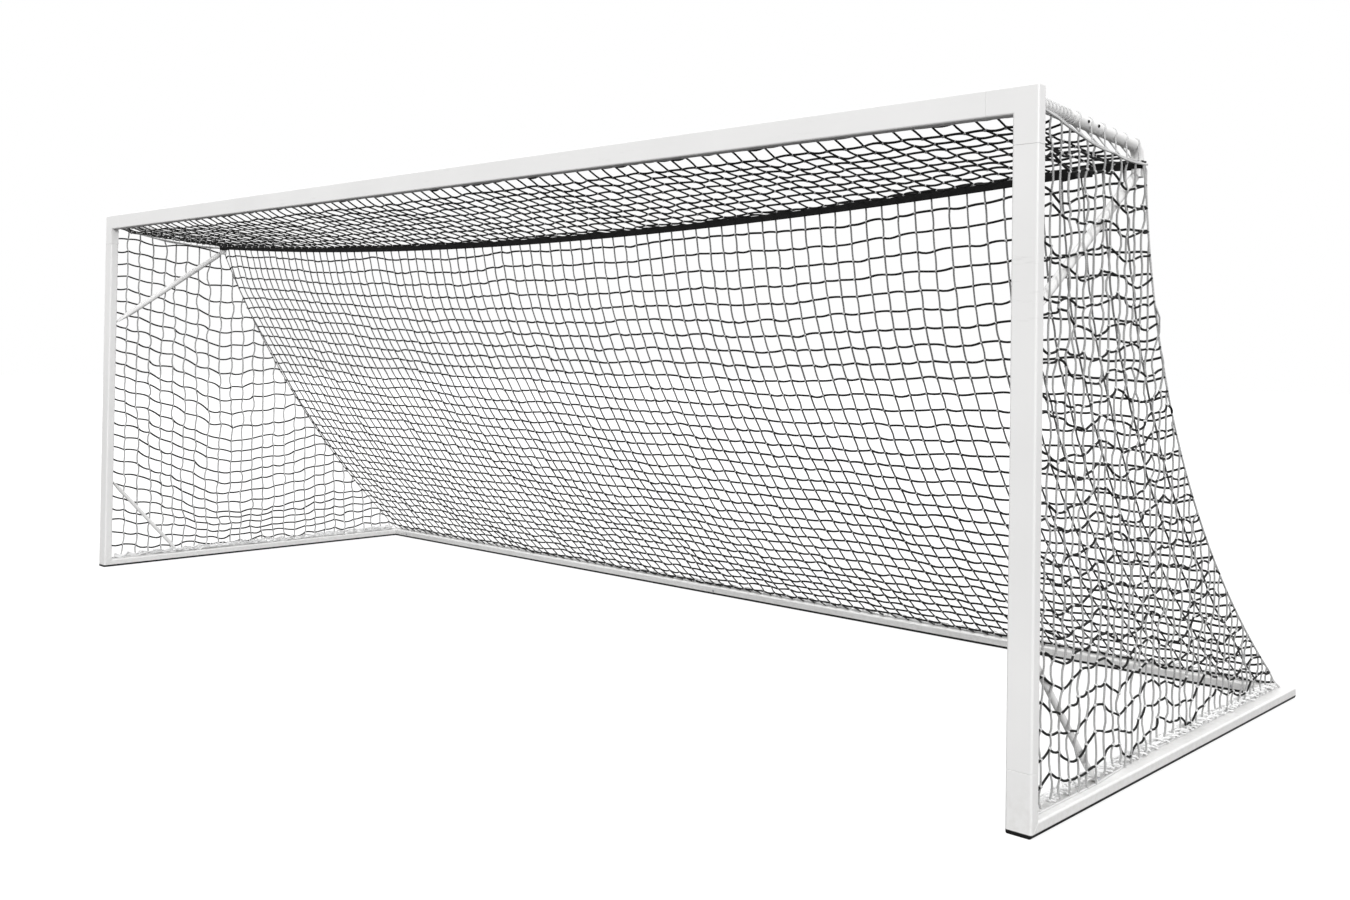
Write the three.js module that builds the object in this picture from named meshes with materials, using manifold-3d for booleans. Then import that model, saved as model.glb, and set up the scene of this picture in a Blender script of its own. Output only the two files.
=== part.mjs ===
// Full-size portable soccer goal: an aluminium front frame and ground frame of one wide
// section, round net supports at the top corners, a webbing strap across the back and
// the net. Millimetres, +Z up, the mouth faces -Y. The origin is on the ground, in the
// middle of the footprint.
import * as THREE from 'three';
import { mergeVertices } from 'three/addons/utils/BufferGeometryUtils.js';
import Module from 'manifold-3d';

const wasm = await Module();
wasm.setup();

// ---------- driving dimensions ----------
const MOUTH_WIDTH = 7320;
const MOUTH_HEIGHT = 2440;
const GOAL_DEPTH = 2540;
const FACE = 101.6; // wide side of the section
const THICK = 50.8; // narrow side of the section
const WALL = 3;
const EDGE_R = 9; // outer corner radius of the section
const JOINT_GAP = 0.5; // open line where two lengths of section meet
const FIT_GAP = 0.4; // clearance round splines, bolts and sleeves
const CONTACT_GAP = 0.3; // clearance between faces that rest on each other

const CORNER_STUB = 105; // reach of a corner piece beyond the inner corner
const POCKET_END = 5; // solid left between a corner's pocket and its inner corner
const FOOT_HEIGHT = 215;
const SPLINE_LENGTH = 200;
const BOLT_INSET = 60; // from a joint line to its bolt
const BOLT_R = 4;
const TUBE_BOLT_R = 3;
const SHANK = 16;
const TAB_SHANK = 18; // reach of a bolt that also goes through a tab
const TUBE_SHANK = 12;
const BOLT_HOLE_REACH = 12; // half the length of the cutter that makes a bolt hole

const TOP_TUBE_R = 24.15;
const SOCKET_R = 20.8;
const ROUND_WALL = 2.4;
const SOCKET_RISE = 50.8; // socket height above the mouth's top edge
const SOCKET_OVERLAP = 230; // length of the socket inside the top tube
const SLEEVE_START = 330; // where the top tube begins, from the front face
const TOP_BEND_Y = 870; // rear end of the top tube, from the front face
const TOP_DROP = 55; // fall of the top tube over its length
const TOP_BEND_R = 55;
const TAIL_LENGTH = 68;
const TUBE_BOLTS = [410, 490]; // bolts through tube and socket, from the front face

const BRACE_R = 19;
const BRACE_LOW_Z = 1765;
const BRACE_HIGH_Z = 2334;
const BRACE_BOLT_DROP = 34; // from the brace's axis down to its bolt
const BRACE_TAB = 110;
const LOWER_BRACE_R = 12.7;
const LOWER_BRACE_Z = 620;
const LOWER_BRACE_Y = 560;
const TAB_THICK = 5;
const LOWER_TAB = 76;
const TAB_SHIFT = 8; // how far a tab's middle lies beyond the end of its tube
const LOWER_BOLT_SHIFT = 30; // from the end of the lower brace's axis to its bolt

const STRAP_WIDTH = 38;
const STRAP_THICK = 2;
const STRAP_END_Z = 2364;
const STRAP_SAG = 125;
const LOOP_REACH = 95; // from the tube's axis to the point where the loop closes
const LOOP_HEEL = 7; // solid webbing where the loop closes
const LOOP_CLEARANCE = 3; // between a loop and the strap's end
const BUCKLE_X = 3500;
const BUCKLE_HEIGHT = STRAP_WIDTH + 10;
const PLATE_LENGTH = 50;
const CHEEK_THICK = 2;
const CHEEK_LENGTH = 30;
const CHEEK_DEPTH = 17;
const CHEEK_SHIFT = 4; // from the plate's middle to the cheeks' middle
const PIN_X = 8;
const PIN_Y = -11;
const PIN_R = 2;
const PIN_PROUD = 2; // how far the pin stands out of each cheek
const LEVER_LENGTH = 48;
const LEVER_THICK = 3;
const LEVER_OFFSET = 4.4; // from the pin's axis forward to the handle's middle
const BARREL_R = 6;
const LEVER_CLEARANCE = 0.6;

const NET_THICK = 2;
const ROOF_THICK = 4;
const BACK_THICK = 3;
const NET_BEHIND_FRAME = 4.5; // from the frame's back face to the net's front edge
const ROOF_FRONT_Z = 2448;
const FOLD_Y = 905; // where the roof turns down into the back
const BACK_BEHIND_FOLD = 4;
const FOLD_ABOVE_STRAP = 8;
const ROOF_HALF_WIDTH = 3680;
const SIDE_NET_X = 3739;
const BACK_FOOT_Y = 2452; // where the back meets the rear bar
const NET_ABOVE_BASE = 3;
const BACK_SAG_Y = 1225; // pull of the hanging back in its middle, from the front
const BACK_SAG_SHIFT = 225; // how much nearer the front that pull is at the right edge
const BACK_SAG_Z = 1050;

// ---------- sizes that follow from them ----------
const FRONT = -GOAL_DEPTH / 2;
const POST_X = MOUTH_WIDTH / 2 + FACE / 2;
const OUTER_X = MOUTH_WIDTH / 2 + FACE;
const TOP_Z = MOUTH_HEIGHT + FACE;
const FRAME_BACK = FRONT + THICK;
const UPRIGHT_TOP = MOUTH_HEIGHT - CORNER_STUB;
const BAR_HALF = MOUTH_WIDTH / 2 - CORNER_STUB;
const REAR_BAR_Y = GOAL_DEPTH / 2 - FACE / 2;
const SOCKET_Z = MOUTH_HEIGHT + SOCKET_RISE;
const TUBE_SLOPE = Math.atan2(TOP_DROP, TOP_BEND_Y - THICK);
const TAIL_Y = FRONT + TOP_BEND_Y;
const UP = new THREE.Vector3(0, 0, 1);

// ---------- materials ----------
const paint = (color, roughness, metalness) =>
  new THREE.MeshStandardMaterial({ color, roughness, metalness });
const WHITE_COAT = () => paint(0xe6e6e3, 0.45, 0.0);
const MILL_ALUMINIUM = () => paint(0xa9abad, 0.4, 0.9);
const ZINC_STEEL = () => paint(0xb4b6b8, 0.35, 1.0);
const BLACK_WEBBING = () => paint(0x0c0c0d, 0.85, 0.0);
const BLACK_PLASTIC = () => paint(0x141415, 0.5, 0.0);
const WHITE_TWINE = () => paint(0xdcdcd8, 0.8, 0.0);

// ---------- solids ----------
function toSolid(geometry) {
  const bare = geometry.clone();
  bare.deleteAttribute('normal');
  bare.deleteAttribute('uv');
  const merged = mergeVertices(bare, 1e-4);
  const mesh = new wasm.Mesh({
    numProp: 3,
    vertProperties: new Float32Array(merged.attributes.position.array),
    triVerts: new Uint32Array(merged.index.array),
  });
  return new wasm.Manifold(mesh);
}

function toGeometry(solid) {
  const mesh = solid.getMesh();
  const geometry = new THREE.BufferGeometry();
  geometry.setAttribute('position', new THREE.BufferAttribute(mesh.vertProperties, 3));
  geometry.setIndex(new THREE.BufferAttribute(mesh.triVerts, 1));
  return geometry;
}

function subtract(geometry, cutters) {
  const solid = cutters.reduce((rest, cutter) => rest.subtract(toSolid(cutter)), toSolid(geometry));
  return toGeometry(solid);
}

function unite(geometries) {
  const [first, ...others] = geometries.map(toSolid);
  return toGeometry(others.reduce((whole, solid) => whole.add(solid), first));
}

// A big block that fills everything on the side of a plane its normal points to.
function halfSpace(point, normal) {
  const size = 600;
  const block = new THREE.BoxGeometry(size, size, size);
  block.translate(0, 0, size / 2);
  block.applyQuaternion(new THREE.Quaternion().setFromUnitVectors(UP, normal.clone().normalize()));
  return block.translate(point.x, point.y, point.z);
}

// A round rod between two points.
function rod(from, to, radius, segments = 16) {
  const run = new THREE.Vector3().subVectors(to, from);
  const cylinder = new THREE.CylinderGeometry(radius, radius, run.length(), segments);
  cylinder.rotateX(Math.PI / 2);
  cylinder.applyQuaternion(new THREE.Quaternion().setFromUnitVectors(UP, run.clone().normalize()));
  const middle = new THREE.Vector3().addVectors(from, to).multiplyScalar(0.5);
  return cylinder.translate(middle.x, middle.y, middle.z);
}

// A cutter for a bolt hole that runs front to back through a point.
function boltHole(x, y, z) {
  const from = new THREE.Vector3(x, y - BOLT_HOLE_REACH, z);
  const to = new THREE.Vector3(x, y + BOLT_HOLE_REACH, z);
  return rod(from, to, BOLT_R + FIT_GAP, 12);
}

// The same for a hole that runs up and down.
function uprightBoltHole(x, y, z) {
  const from = new THREE.Vector3(x, y, z - BOLT_HOLE_REACH);
  const to = new THREE.Vector3(x, y, z + BOLT_HOLE_REACH);
  return rod(from, to, BOLT_R + FIT_GAP, 12);
}

function roundedRect(target, width, height, radius) {
  const w = width / 2 - radius;
  const h = height / 2 - radius;
  target.moveTo(w + radius, -h);
  target.lineTo(w + radius, h);
  target.absarc(w, h, radius, 0, Math.PI / 2, false);
  target.lineTo(-w, h + radius);
  target.absarc(-w, h, radius, Math.PI / 2, Math.PI, false);
  target.lineTo(-w - radius, -h);
  target.absarc(-w, -h, radius, Math.PI, 1.5 * Math.PI, false);
  target.lineTo(w, -h - radius);
  target.absarc(w, -h, radius, 1.5 * Math.PI, 2 * Math.PI, false);
  return target;
}

// Hollow rounded section, local X and Y across it, run from 0 to length along local Z.
function hollowSection(width, height, radius, length) {
  const shape = roundedRect(new THREE.Shape(), width, height, radius);
  const inner = roundedRect(new THREE.Path(), width - 2 * WALL, height - 2 * WALL, radius - WALL);
  shape.holes.push(inner);
  return new THREE.ExtrudeGeometry(shape, {
    depth: length, bevelEnabled: false, curveSegments: 2, steps: 1,
  });
}

const frameSection = (length) => hollowSection(FACE, THICK, EDGE_R, length);
const splineSection = (length) => {
  const inset = 2 * (WALL + FIT_GAP);
  return hollowSection(FACE - inset, THICK - inset, EDGE_R - WALL, length);
};

const alongY = (geometry) => geometry.rotateX(-Math.PI / 2);
const alongX = (geometry) => geometry.rotateY(Math.PI / 2);
// Turns local X, Y and Z to Y, Z and X: a section lies flat along X, an outline stands in YZ.
function turnToX(geometry) {
  const axes = [new THREE.Vector3(0, 1, 0), new THREE.Vector3(0, 0, 1), new THREE.Vector3(1, 0, 0)];
  return geometry.applyMatrix4(new THREE.Matrix4().makeBasis(...axes));
}

// ---------- scene graph ----------
const goal = new THREE.Group();
const frontFrame = new THREE.Group();
const groundFrame = new THREE.Group();
const netSupports = new THREE.Group();
const rearStrap = new THREE.Group();
const net = new THREE.Group();
goal.add(frontFrame, groundFrame, netSupports, rearStrap, net);

function addPiece(group, name, geometry, material, position = [0, 0, 0]) {
  const mesh = new THREE.Mesh(geometry, material);
  mesh.name = name;
  mesh.position.set(...position);
  group.add(mesh);
  return mesh;
}

// Button-head bolt with its head's underside at the origin, pointing along +Z.
function boltGeometry(shank) {
  const profile = [
    [0, -shank], [4, -shank], [4, 0], [8, 0], [8, 1.8], [5, 4.2], [0, 4.8],
  ].map(([x, y]) => new THREE.Vector2(x, y));
  return new THREE.LatheGeometry(profile, 10).rotateX(Math.PI / 2);
}

function addBolt(group, name, position, direction, shank = SHANK) {
  const bolt = addPiece(group, name, boltGeometry(shank), ZINC_STEEL(), position);
  bolt.quaternion.setFromUnitVectors(UP, direction);
}

const BACKWARD = new THREE.Vector3(0, 1, 0);
const FORWARD = new THREE.Vector3(0, -1, 0);

// ---------- front frame ----------
function addCrossbar() {
  const length = 2 * (BAR_HALF - JOINT_GAP);
  const bar = alongX(frameSection(length)).translate(-length / 2, 0, 0);
  const boltX = BAR_HALF - BOLT_INSET;
  const holes = [-boltX, boltX].map((x) => boltHole(x, THICK / 2, 0));
  const place = [0, FRONT + THICK / 2, MOUTH_HEIGHT + FACE / 2];
  addPiece(frontFrame, 'crossbar', subtract(bar, holes), WHITE_COAT(), place);
}

// L-shaped corner: its outline is drawn inside the edge rounding, which the bevel adds back.
function cornerOutline(side) {
  const r = EDGE_R;
  const outer = FACE - r;
  const reach = FACE + CORNER_STUB;
  const points = [
    [r, r], [r, reach], [outer, reach], [outer, outer], [reach, outer], [reach, r],
  ];
  const shape = new THREE.Shape();
  points.forEach(([x, z], i) => {
    if (i === 0) shape.moveTo(-side * x, -z);
    else shape.lineTo(-side * x, -z);
  });
  shape.closePath();
  return shape;
}

function addTopCorner(side, label) {
  const body = new THREE.ExtrudeGeometry(cornerOutline(side), {
    depth: THICK - 2 * EDGE_R, bevelEnabled: true, bevelThickness: EDGE_R, bevelSize: EDGE_R,
    bevelSegments: 4, curveSegments: 4,
  });
  // The outline lies in XZ, so the extrusion turns to run along Y.
  body.rotateX(Math.PI / 2).translate(0, THICK - EDGE_R, 0);
  const reach = FACE + CORNER_STUB;
  const flatPost = halfSpace(new THREE.Vector3(0, 0, -reach), new THREE.Vector3(0, 0, -1));
  const flatBar = halfSpace(new THREE.Vector3(-side * reach, 0, 0), new THREE.Vector3(-side, 0, 0));
  const pocketWide = FACE - 2 * WALL;
  const pocketDeep = THICK - 2 * WALL;
  const length = 2 * (CORNER_STUB - POCKET_END);
  const postPocket = new THREE.BoxGeometry(pocketWide, pocketDeep, length);
  postPocket.translate(-side * FACE / 2, THICK / 2, -reach);
  const barPocket = new THREE.BoxGeometry(length, pocketDeep, pocketWide);
  barPocket.translate(-side * reach, THICK / 2, -FACE / 2);
  const geometry = subtract(body, [flatPost, flatBar, postPocket, barPocket]);
  const place = [side * OUTER_X, FRONT, TOP_Z];
  addPiece(frontFrame, `top_corner_${label}`, geometry, WHITE_COAT(), place);
}

function addUpright(side, label) {
  const bottom = FOOT_HEIGHT + JOINT_GAP;
  const length = UPRIGHT_TOP - JOINT_GAP - bottom;
  const holes = [
    FOOT_HEIGHT + BOLT_INSET,
    UPRIGHT_TOP - BOLT_INSET,
    BRACE_LOW_Z - BRACE_BOLT_DROP,
    LOWER_BRACE_Z + LOWER_BOLT_SHIFT,
  ].map((z) => boltHole(0, THICK / 2, z - bottom));
  const geometry = subtract(frameSection(length), holes);
  const place = [side * POST_X, FRONT + THICK / 2, bottom];
  addPiece(frontFrame, `upright_${label}`, geometry, WHITE_COAT(), place);
}

function addFoot(side, label) {
  const mitre = halfSpace(new THREE.Vector3(0, -THICK / 2, 0), new THREE.Vector3(0, 1, -1));
  const geometry = subtract(frameSection(FOOT_HEIGHT), [mitre]);
  const place = [side * POST_X, FRONT + THICK / 2, 0];
  addPiece(frontFrame, `foot_${label}`, geometry, WHITE_COAT(), place);
}

function addVerticalSpline(name, side, jointZ, boltZ) {
  const bottom = jointZ - SPLINE_LENGTH / 2;
  const geometry = subtract(splineSection(SPLINE_LENGTH), [boltHole(0, THICK / 2, boltZ - bottom)]);
  const place = [side * POST_X, FRONT + THICK / 2, bottom];
  addPiece(frontFrame, name, geometry, MILL_ALUMINIUM(), place);
  addBolt(frontFrame, `${name}_bolt`, [side * POST_X, FRAME_BACK, boltZ], BACKWARD);
}

function addCrossbarSpline(side, label) {
  const length = SPLINE_LENGTH - 2 * POCKET_END;
  const bar = alongX(splineSection(length)).translate(-length / 2, 0, 0);
  const hole = boltHole(-side * BOLT_INSET, THICK / 2, 0);
  const place = [side * BAR_HALF, FRONT + THICK / 2, MOUTH_HEIGHT + FACE / 2];
  addPiece(frontFrame, `crossbar_spline_${label}`, subtract(bar, [hole]), MILL_ALUMINIUM(), place);
  const boltPlace = [side * (BAR_HALF - BOLT_INSET), FRAME_BACK, MOUTH_HEIGHT + FACE / 2];
  addBolt(frontFrame, `crossbar_bolt_${label}`, boltPlace, BACKWARD);
}

// ---------- ground frame ----------
// A base side starts at the foot's mitre and ends at the rear corner's mitre.
function addBaseSide(side, label) {
  const bar = alongY(frameSection(GOAL_DEPTH));
  const heel = new THREE.Vector3(0, JOINT_GAP, -THICK / 2);
  const footMitre = halfSpace(heel, new THREE.Vector3(0, -1, 1));
  const innerCorner = new THREE.Vector3(-side * FACE / 2, GOAL_DEPTH - FACE - JOINT_GAP, 0);
  const rearMitre = halfSpace(innerCorner, new THREE.Vector3(-side, 1, 0));
  const tabHole = uprightBoltHole(0, LOWER_BRACE_Y + LOWER_BOLT_SHIFT, THICK / 2);
  const geometry = subtract(bar, [footMitre, rearMitre, tabHole]);
  const place = [side * POST_X, FRONT, THICK / 2];
  addPiece(groundFrame, `base_side_${label}`, geometry, WHITE_COAT(), place);
}

function addRearStub(side, label) {
  const length = FACE + CORNER_STUB;
  const bar = turnToX(frameSection(length)).translate(side > 0 ? -length : 0, 0, 0);
  const innerCorner = new THREE.Vector3(-side * FACE, -FACE / 2, 0);
  const mitre = halfSpace(innerCorner, new THREE.Vector3(side, -1, 0));
  const place = [side * OUTER_X, REAR_BAR_Y, THICK / 2];
  addPiece(groundFrame, `rear_stub_${label}`, subtract(bar, [mitre]), WHITE_COAT(), place);
}

// Each length of the rear bar reaches from the middle joint to its corner stub.
function addRearBar(side, label) {
  const length = BAR_HALF - 2 * JOINT_GAP;
  const bar = turnToX(frameSection(length)).translate(side > 0 ? 0 : -length, 0, 0);
  const cornerHole = boltHole(side * (length - BOLT_INSET), -FACE / 2, 0);
  const middleHole = boltHole(side * BOLT_INSET, -FACE / 2, 0);
  const holes = side > 0 ? [cornerHole, middleHole] : [cornerHole];
  const place = [side * JOINT_GAP, REAR_BAR_Y, THICK / 2];
  addPiece(groundFrame, `rear_bar_${label}`, subtract(bar, holes), WHITE_COAT(), place);
}

function addRearSpline(label, jointX, boltX) {
  const bar = turnToX(splineSection(SPLINE_LENGTH)).translate(-SPLINE_LENGTH / 2, 0, 0);
  const hole = boltHole(boltX - jointX, -FACE / 2, 0);
  const place = [jointX, REAR_BAR_Y, THICK / 2];
  addPiece(groundFrame, `rear_spline_${label}`, subtract(bar, [hole]), MILL_ALUMINIUM(), place);
  const boltPlace = [boltX, REAR_BAR_Y - FACE / 2, THICK / 2];
  addBolt(groundFrame, `rear_bolt_${label}`, boltPlace, FORWARD);
}

// ---------- net supports ----------
// All of a support lies in the plane through its upright's middle, so its path is in Y and Z.
const supportPoint = (y, z) => new THREE.Vector3(0, y, z);
const tubeZ = (y) => SOCKET_Z - (y - THICK) * Math.tan(TUBE_SLOPE);

function annulus(outer, inner) {
  const shape = new THREE.Shape();
  shape.absarc(0, 0, outer, 0, 2 * Math.PI, false);
  const hole = new THREE.Path();
  hole.absarc(0, 0, inner, 0, 2 * Math.PI, true);
  shape.holes.push(hole);
  return shape;
}

function hollowTube(path, outer, inner, steps) {
  const shape = annulus(outer, inner);
  return new THREE.ExtrudeGeometry(shape, { steps, curveSegments: 7, extrudePath: path });
}

function tubeBoltHole(y) {
  const from = new THREE.Vector3(-2 * TOP_TUBE_R, y, tubeZ(y));
  const to = new THREE.Vector3(2 * TOP_TUBE_R, y, tubeZ(y));
  return rod(from, to, TUBE_BOLT_R + FIT_GAP, 10);
}

function addSocket(side, label) {
  const startY = THICK + CONTACT_GAP;
  const endY = SLEEVE_START + SOCKET_OVERLAP;
  const start = supportPoint(startY, tubeZ(startY));
  const end = supportPoint(endY, tubeZ(endY));
  const beyond = supportPoint(0, tubeZ(0));
  const tube = hollowTube(new THREE.LineCurve3(beyond, end), SOCKET_R, SOCKET_R - ROUND_WALL, 1);
  const flush = halfSpace(start, new THREE.Vector3(0, -1, 0));
  const geometry = subtract(tube, [flush, ...TUBE_BOLTS.map(tubeBoltHole)]);
  addPiece(netSupports, `top_socket_${label}`, geometry, WHITE_COAT(), [side * POST_X, FRONT, 0]);
}

function topTubePath() {
  const slope = new THREE.Vector3(0, Math.cos(TUBE_SLOPE), -Math.sin(TUBE_SLOPE));
  const corner = supportPoint(TOP_BEND_Y, tubeZ(TOP_BEND_Y));
  const turn = Math.PI / 2 - TUBE_SLOPE;
  const trim = TOP_BEND_R * Math.tan(turn / 2);
  const bendStart = corner.clone().addScaledVector(slope, -trim);
  const bendEnd = corner.clone().addScaledVector(UP, -trim);
  const path = new THREE.CurvePath();
  path.add(new THREE.LineCurve3(supportPoint(SLEEVE_START, tubeZ(SLEEVE_START)), bendStart));
  path.add(new THREE.QuadraticBezierCurve3(bendStart, corner, bendEnd));
  path.add(new THREE.LineCurve3(bendEnd, bendEnd.clone().addScaledVector(UP, -TAIL_LENGTH)));
  return path;
}

function addTopTube(side, label) {
  const tube = hollowTube(topTubePath(), TOP_TUBE_R, TOP_TUBE_R - ROUND_WALL, 32);
  const geometry = subtract(tube, TUBE_BOLTS.map(tubeBoltHole));
  addPiece(netSupports, `top_tube_${label}`, geometry, WHITE_COAT(), [side * POST_X, FRONT, 0]);
  TUBE_BOLTS.forEach((y, i) => {
    const place = [side * (POST_X + TOP_TUBE_R), FRONT + y, tubeZ(y)];
    addTubeBolt(`tube_bolt_${label}_${i + 1}`, place, side);
  });
}

function addTubeBolt(name, position, side) {
  const share = TUBE_BOLT_R / BOLT_R;
  const geometry = boltGeometry(TUBE_SHANK).scale(share, share, 1);
  const bolt = addPiece(netSupports, name, geometry, ZINC_STEEL(), position);
  bolt.quaternion.setFromUnitVectors(UP, new THREE.Vector3(side, 0, 0));
}

// Diagonal: a tube fish-mouthed to the tail of the top tube, with a flat bolted tab below.
function addBrace(side, label) {
  const onPost = THICK + CONTACT_GAP;
  const low = supportPoint(THICK + TAB_THICK / 2, BRACE_LOW_Z);
  const tube = rod(low, supportPoint(TOP_BEND_Y, BRACE_HIGH_Z), BRACE_R, 18);
  const tab = new THREE.BoxGeometry(2 * BRACE_R, TAB_THICK, BRACE_TAB);
  tab.translate(0, onPost + TAB_THICK / 2, BRACE_LOW_Z - TAB_SHIFT);
  const tail = rod(
    supportPoint(TOP_BEND_Y, BRACE_HIGH_Z - 2 * TAIL_LENGTH),
    supportPoint(TOP_BEND_Y, BRACE_HIGH_Z + TAIL_LENGTH),
    TOP_TUBE_R + FIT_GAP,
    36,
  );
  const behindTail = new THREE.BoxGeometry(4 * BRACE_R, 4 * BRACE_R, 10 * BRACE_R);
  behindTail.translate(0, TOP_BEND_Y + 2 * BRACE_R, BRACE_HIGH_Z);
  const postFace = halfSpace(supportPoint(onPost, BRACE_LOW_Z), FORWARD);
  const boltZ = BRACE_LOW_Z - BRACE_BOLT_DROP;
  const cutters = [tail, behindTail, postFace, boltHole(0, THICK, boltZ)];
  const geometry = subtract(unite([tube, tab]), cutters);
  addPiece(netSupports, `diagonal_brace_${label}`, geometry, WHITE_COAT(), [side * POST_X, FRONT, 0]);
  const boltPlace = [side * POST_X, FRONT + onPost + TAB_THICK, boltZ];
  addBolt(netSupports, `brace_bolt_${label}`, boltPlace, BACKWARD, TAB_SHANK);
}

// Lower brace: a thin tube from the upright to the base side, a flat bolted tab at each end.
function addLowerBrace(side, label) {
  const onFace = THICK + CONTACT_GAP;
  const middle = onFace + TAB_THICK / 2;
  const high = supportPoint(THICK + TAB_THICK / 2, LOWER_BRACE_Z);
  const low = supportPoint(LOWER_BRACE_Y, THICK + TAB_THICK / 2);
  const tube = rod(high, low, LOWER_BRACE_R, 14);
  const width = 2 * LOWER_BRACE_R;
  const postTab = new THREE.BoxGeometry(width, TAB_THICK, LOWER_TAB);
  postTab.translate(0, middle, LOWER_BRACE_Z + TAB_SHIFT);
  const baseTab = new THREE.BoxGeometry(width, LOWER_TAB, TAB_THICK);
  baseTab.translate(0, LOWER_BRACE_Y + TAB_SHIFT, middle);
  const postBoltZ = LOWER_BRACE_Z + LOWER_BOLT_SHIFT;
  const baseBoltY = LOWER_BRACE_Y + LOWER_BOLT_SHIFT;
  const cutters = [
    halfSpace(supportPoint(onFace, LOWER_BRACE_Z), FORWARD),
    halfSpace(supportPoint(LOWER_BRACE_Y, onFace), UP.clone().negate()),
    boltHole(0, THICK, postBoltZ),
    uprightBoltHole(0, baseBoltY, THICK),
  ];
  const geometry = subtract(unite([tube, postTab, baseTab]), cutters);
  addPiece(netSupports, `lower_brace_${label}`, geometry, WHITE_COAT(), [side * POST_X, FRONT, 0]);
  const onTab = onFace + TAB_THICK;
  const postBolt = [side * POST_X, FRONT + onTab, postBoltZ];
  const baseBolt = [side * POST_X, FRONT + baseBoltY, onTab];
  addBolt(netSupports, `lower_brace_bolt_${label}_1`, postBolt, BACKWARD, TAB_SHANK);
  addBolt(netSupports, `lower_brace_bolt_${label}_2`, baseBolt, UP, TAB_SHANK);
}

// ---------- rear strap ----------
const STRAP_HALF = POST_X - LOOP_REACH - LOOP_CLEARANCE;
const strapZ = (x) => STRAP_END_Z - STRAP_SAG * (1 - (x / STRAP_HALF) ** 2);

// Moves every vertex of a plain block by a rule, so that a flat sheet takes a curved shape.
function bend(geometry, rule) {
  const position = geometry.attributes.position;
  const point = new THREE.Vector3();
  for (let i = 0; i < position.count; i += 1) {
    point.fromBufferAttribute(position, i);
    rule(point);
    position.setXYZ(i, point.x, point.y, point.z);
  }
  return geometry;
}

function addStrap() {
  const block = new THREE.BoxGeometry(2 * STRAP_HALF, STRAP_THICK, STRAP_WIDTH, 40, 1, 1);
  const geometry = bend(block, (p) => {
    p.z += strapZ(p.x);
  });
  addPiece(rearStrap, 'rear_strap', geometry, BLACK_WEBBING(), [0, TAIL_Y, 0]);
}

// The loop leaves the strap's end, goes round the tube and comes back to itself.
function loopOutline(target, radius, reach) {
  const touch = Math.acos(radius / reach);
  target.moveTo(-reach, 0);
  target.lineTo(-radius * Math.cos(touch), -radius * Math.sin(touch));
  target.absarc(0, 0, radius, Math.PI + touch, Math.PI - touch + 2 * Math.PI, false);
  target.closePath();
  return target;
}

function addLoop(side, label) {
  const inner = TOP_TUBE_R + FIT_GAP;
  const shape = loopOutline(new THREE.Shape(), inner + STRAP_THICK, LOOP_REACH);
  shape.holes.push(loopOutline(new THREE.Path(), inner, LOOP_REACH - LOOP_HEEL));
  const geometry = new THREE.ExtrudeGeometry(shape, {
    depth: STRAP_WIDTH, bevelEnabled: false, curveSegments: 14,
  });
  geometry.translate(0, 0, -STRAP_WIDTH / 2);
  const place = [side * POST_X, TAIL_Y, STRAP_END_Z];
  const loop = addPiece(rearStrap, `strap_loop_${label}`, geometry, BLACK_WEBBING(), place);
  loop.rotation.z = side > 0 ? 0 : Math.PI;
}

// Upright pin of the buckle, thicker by a clearance where it is used as a cutter.
function pinRod(clearance) {
  const reach = BUCKLE_HEIGHT / 2 + PIN_PROUD;
  const from = new THREE.Vector3(PIN_X, PIN_Y, -reach);
  const to = new THREE.Vector3(PIN_X, PIN_Y, reach);
  return rod(from, to, PIN_R + clearance, 14);
}

// Channel of the buckle: a plate on the strap's front face with a cheek above and below.
function buckleBody() {
  const plate = new THREE.BoxGeometry(PLATE_LENGTH, CHEEK_THICK, BUCKLE_HEIGHT);
  plate.translate(0, -CHEEK_THICK / 2, 0);
  const cheekZ = BUCKLE_HEIGHT / 2 - CHEEK_THICK / 2;
  const cheeks = [-cheekZ, cheekZ].map((z) => {
    const cheek = new THREE.BoxGeometry(CHEEK_LENGTH, CHEEK_DEPTH, CHEEK_THICK);
    return cheek.translate(CHEEK_SHIFT, -CHEEK_DEPTH / 2, z);
  });
  return subtract(unite([plate, ...cheeks]), [pinRod(FIT_GAP)]);
}

// Lever of the buckle: a barrel on the pin with a flat handle that lies along the strap.
function buckleLever() {
  const height = BUCKLE_HEIGHT - 2 * (CHEEK_THICK + LEVER_CLEARANCE);
  const bottom = new THREE.Vector3(PIN_X, PIN_Y, -height / 2);
  const top = new THREE.Vector3(PIN_X, PIN_Y, height / 2);
  const barrel = rod(bottom, top, BARREL_R, 18);
  const handle = new THREE.BoxGeometry(LEVER_LENGTH, LEVER_THICK, height);
  handle.translate(PIN_X - LEVER_LENGTH / 2, PIN_Y - LEVER_OFFSET, 0);
  return subtract(unite([barrel, handle]), [pinRod(FIT_GAP)]);
}

function addBuckle() {
  const place = [BUCKLE_X, TAIL_Y - STRAP_THICK / 2 - CONTACT_GAP, strapZ(BUCKLE_X)];
  addPiece(rearStrap, 'buckle_body', buckleBody(), BLACK_PLASTIC(), place);
  addPiece(rearStrap, 'buckle_pin', pinRod(0), ZINC_STEEL(), place);
  addPiece(rearStrap, 'buckle_lever', buckleLever(), BLACK_PLASTIC(), place);
}

// ---------- net ----------
const netFront = THICK + NET_BEHIND_FRAME;
const foldZ = (x) => strapZ(Math.min(Math.abs(x), STRAP_HALF)) + STRAP_WIDTH / 2 + FOLD_ABOVE_STRAP;

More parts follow.
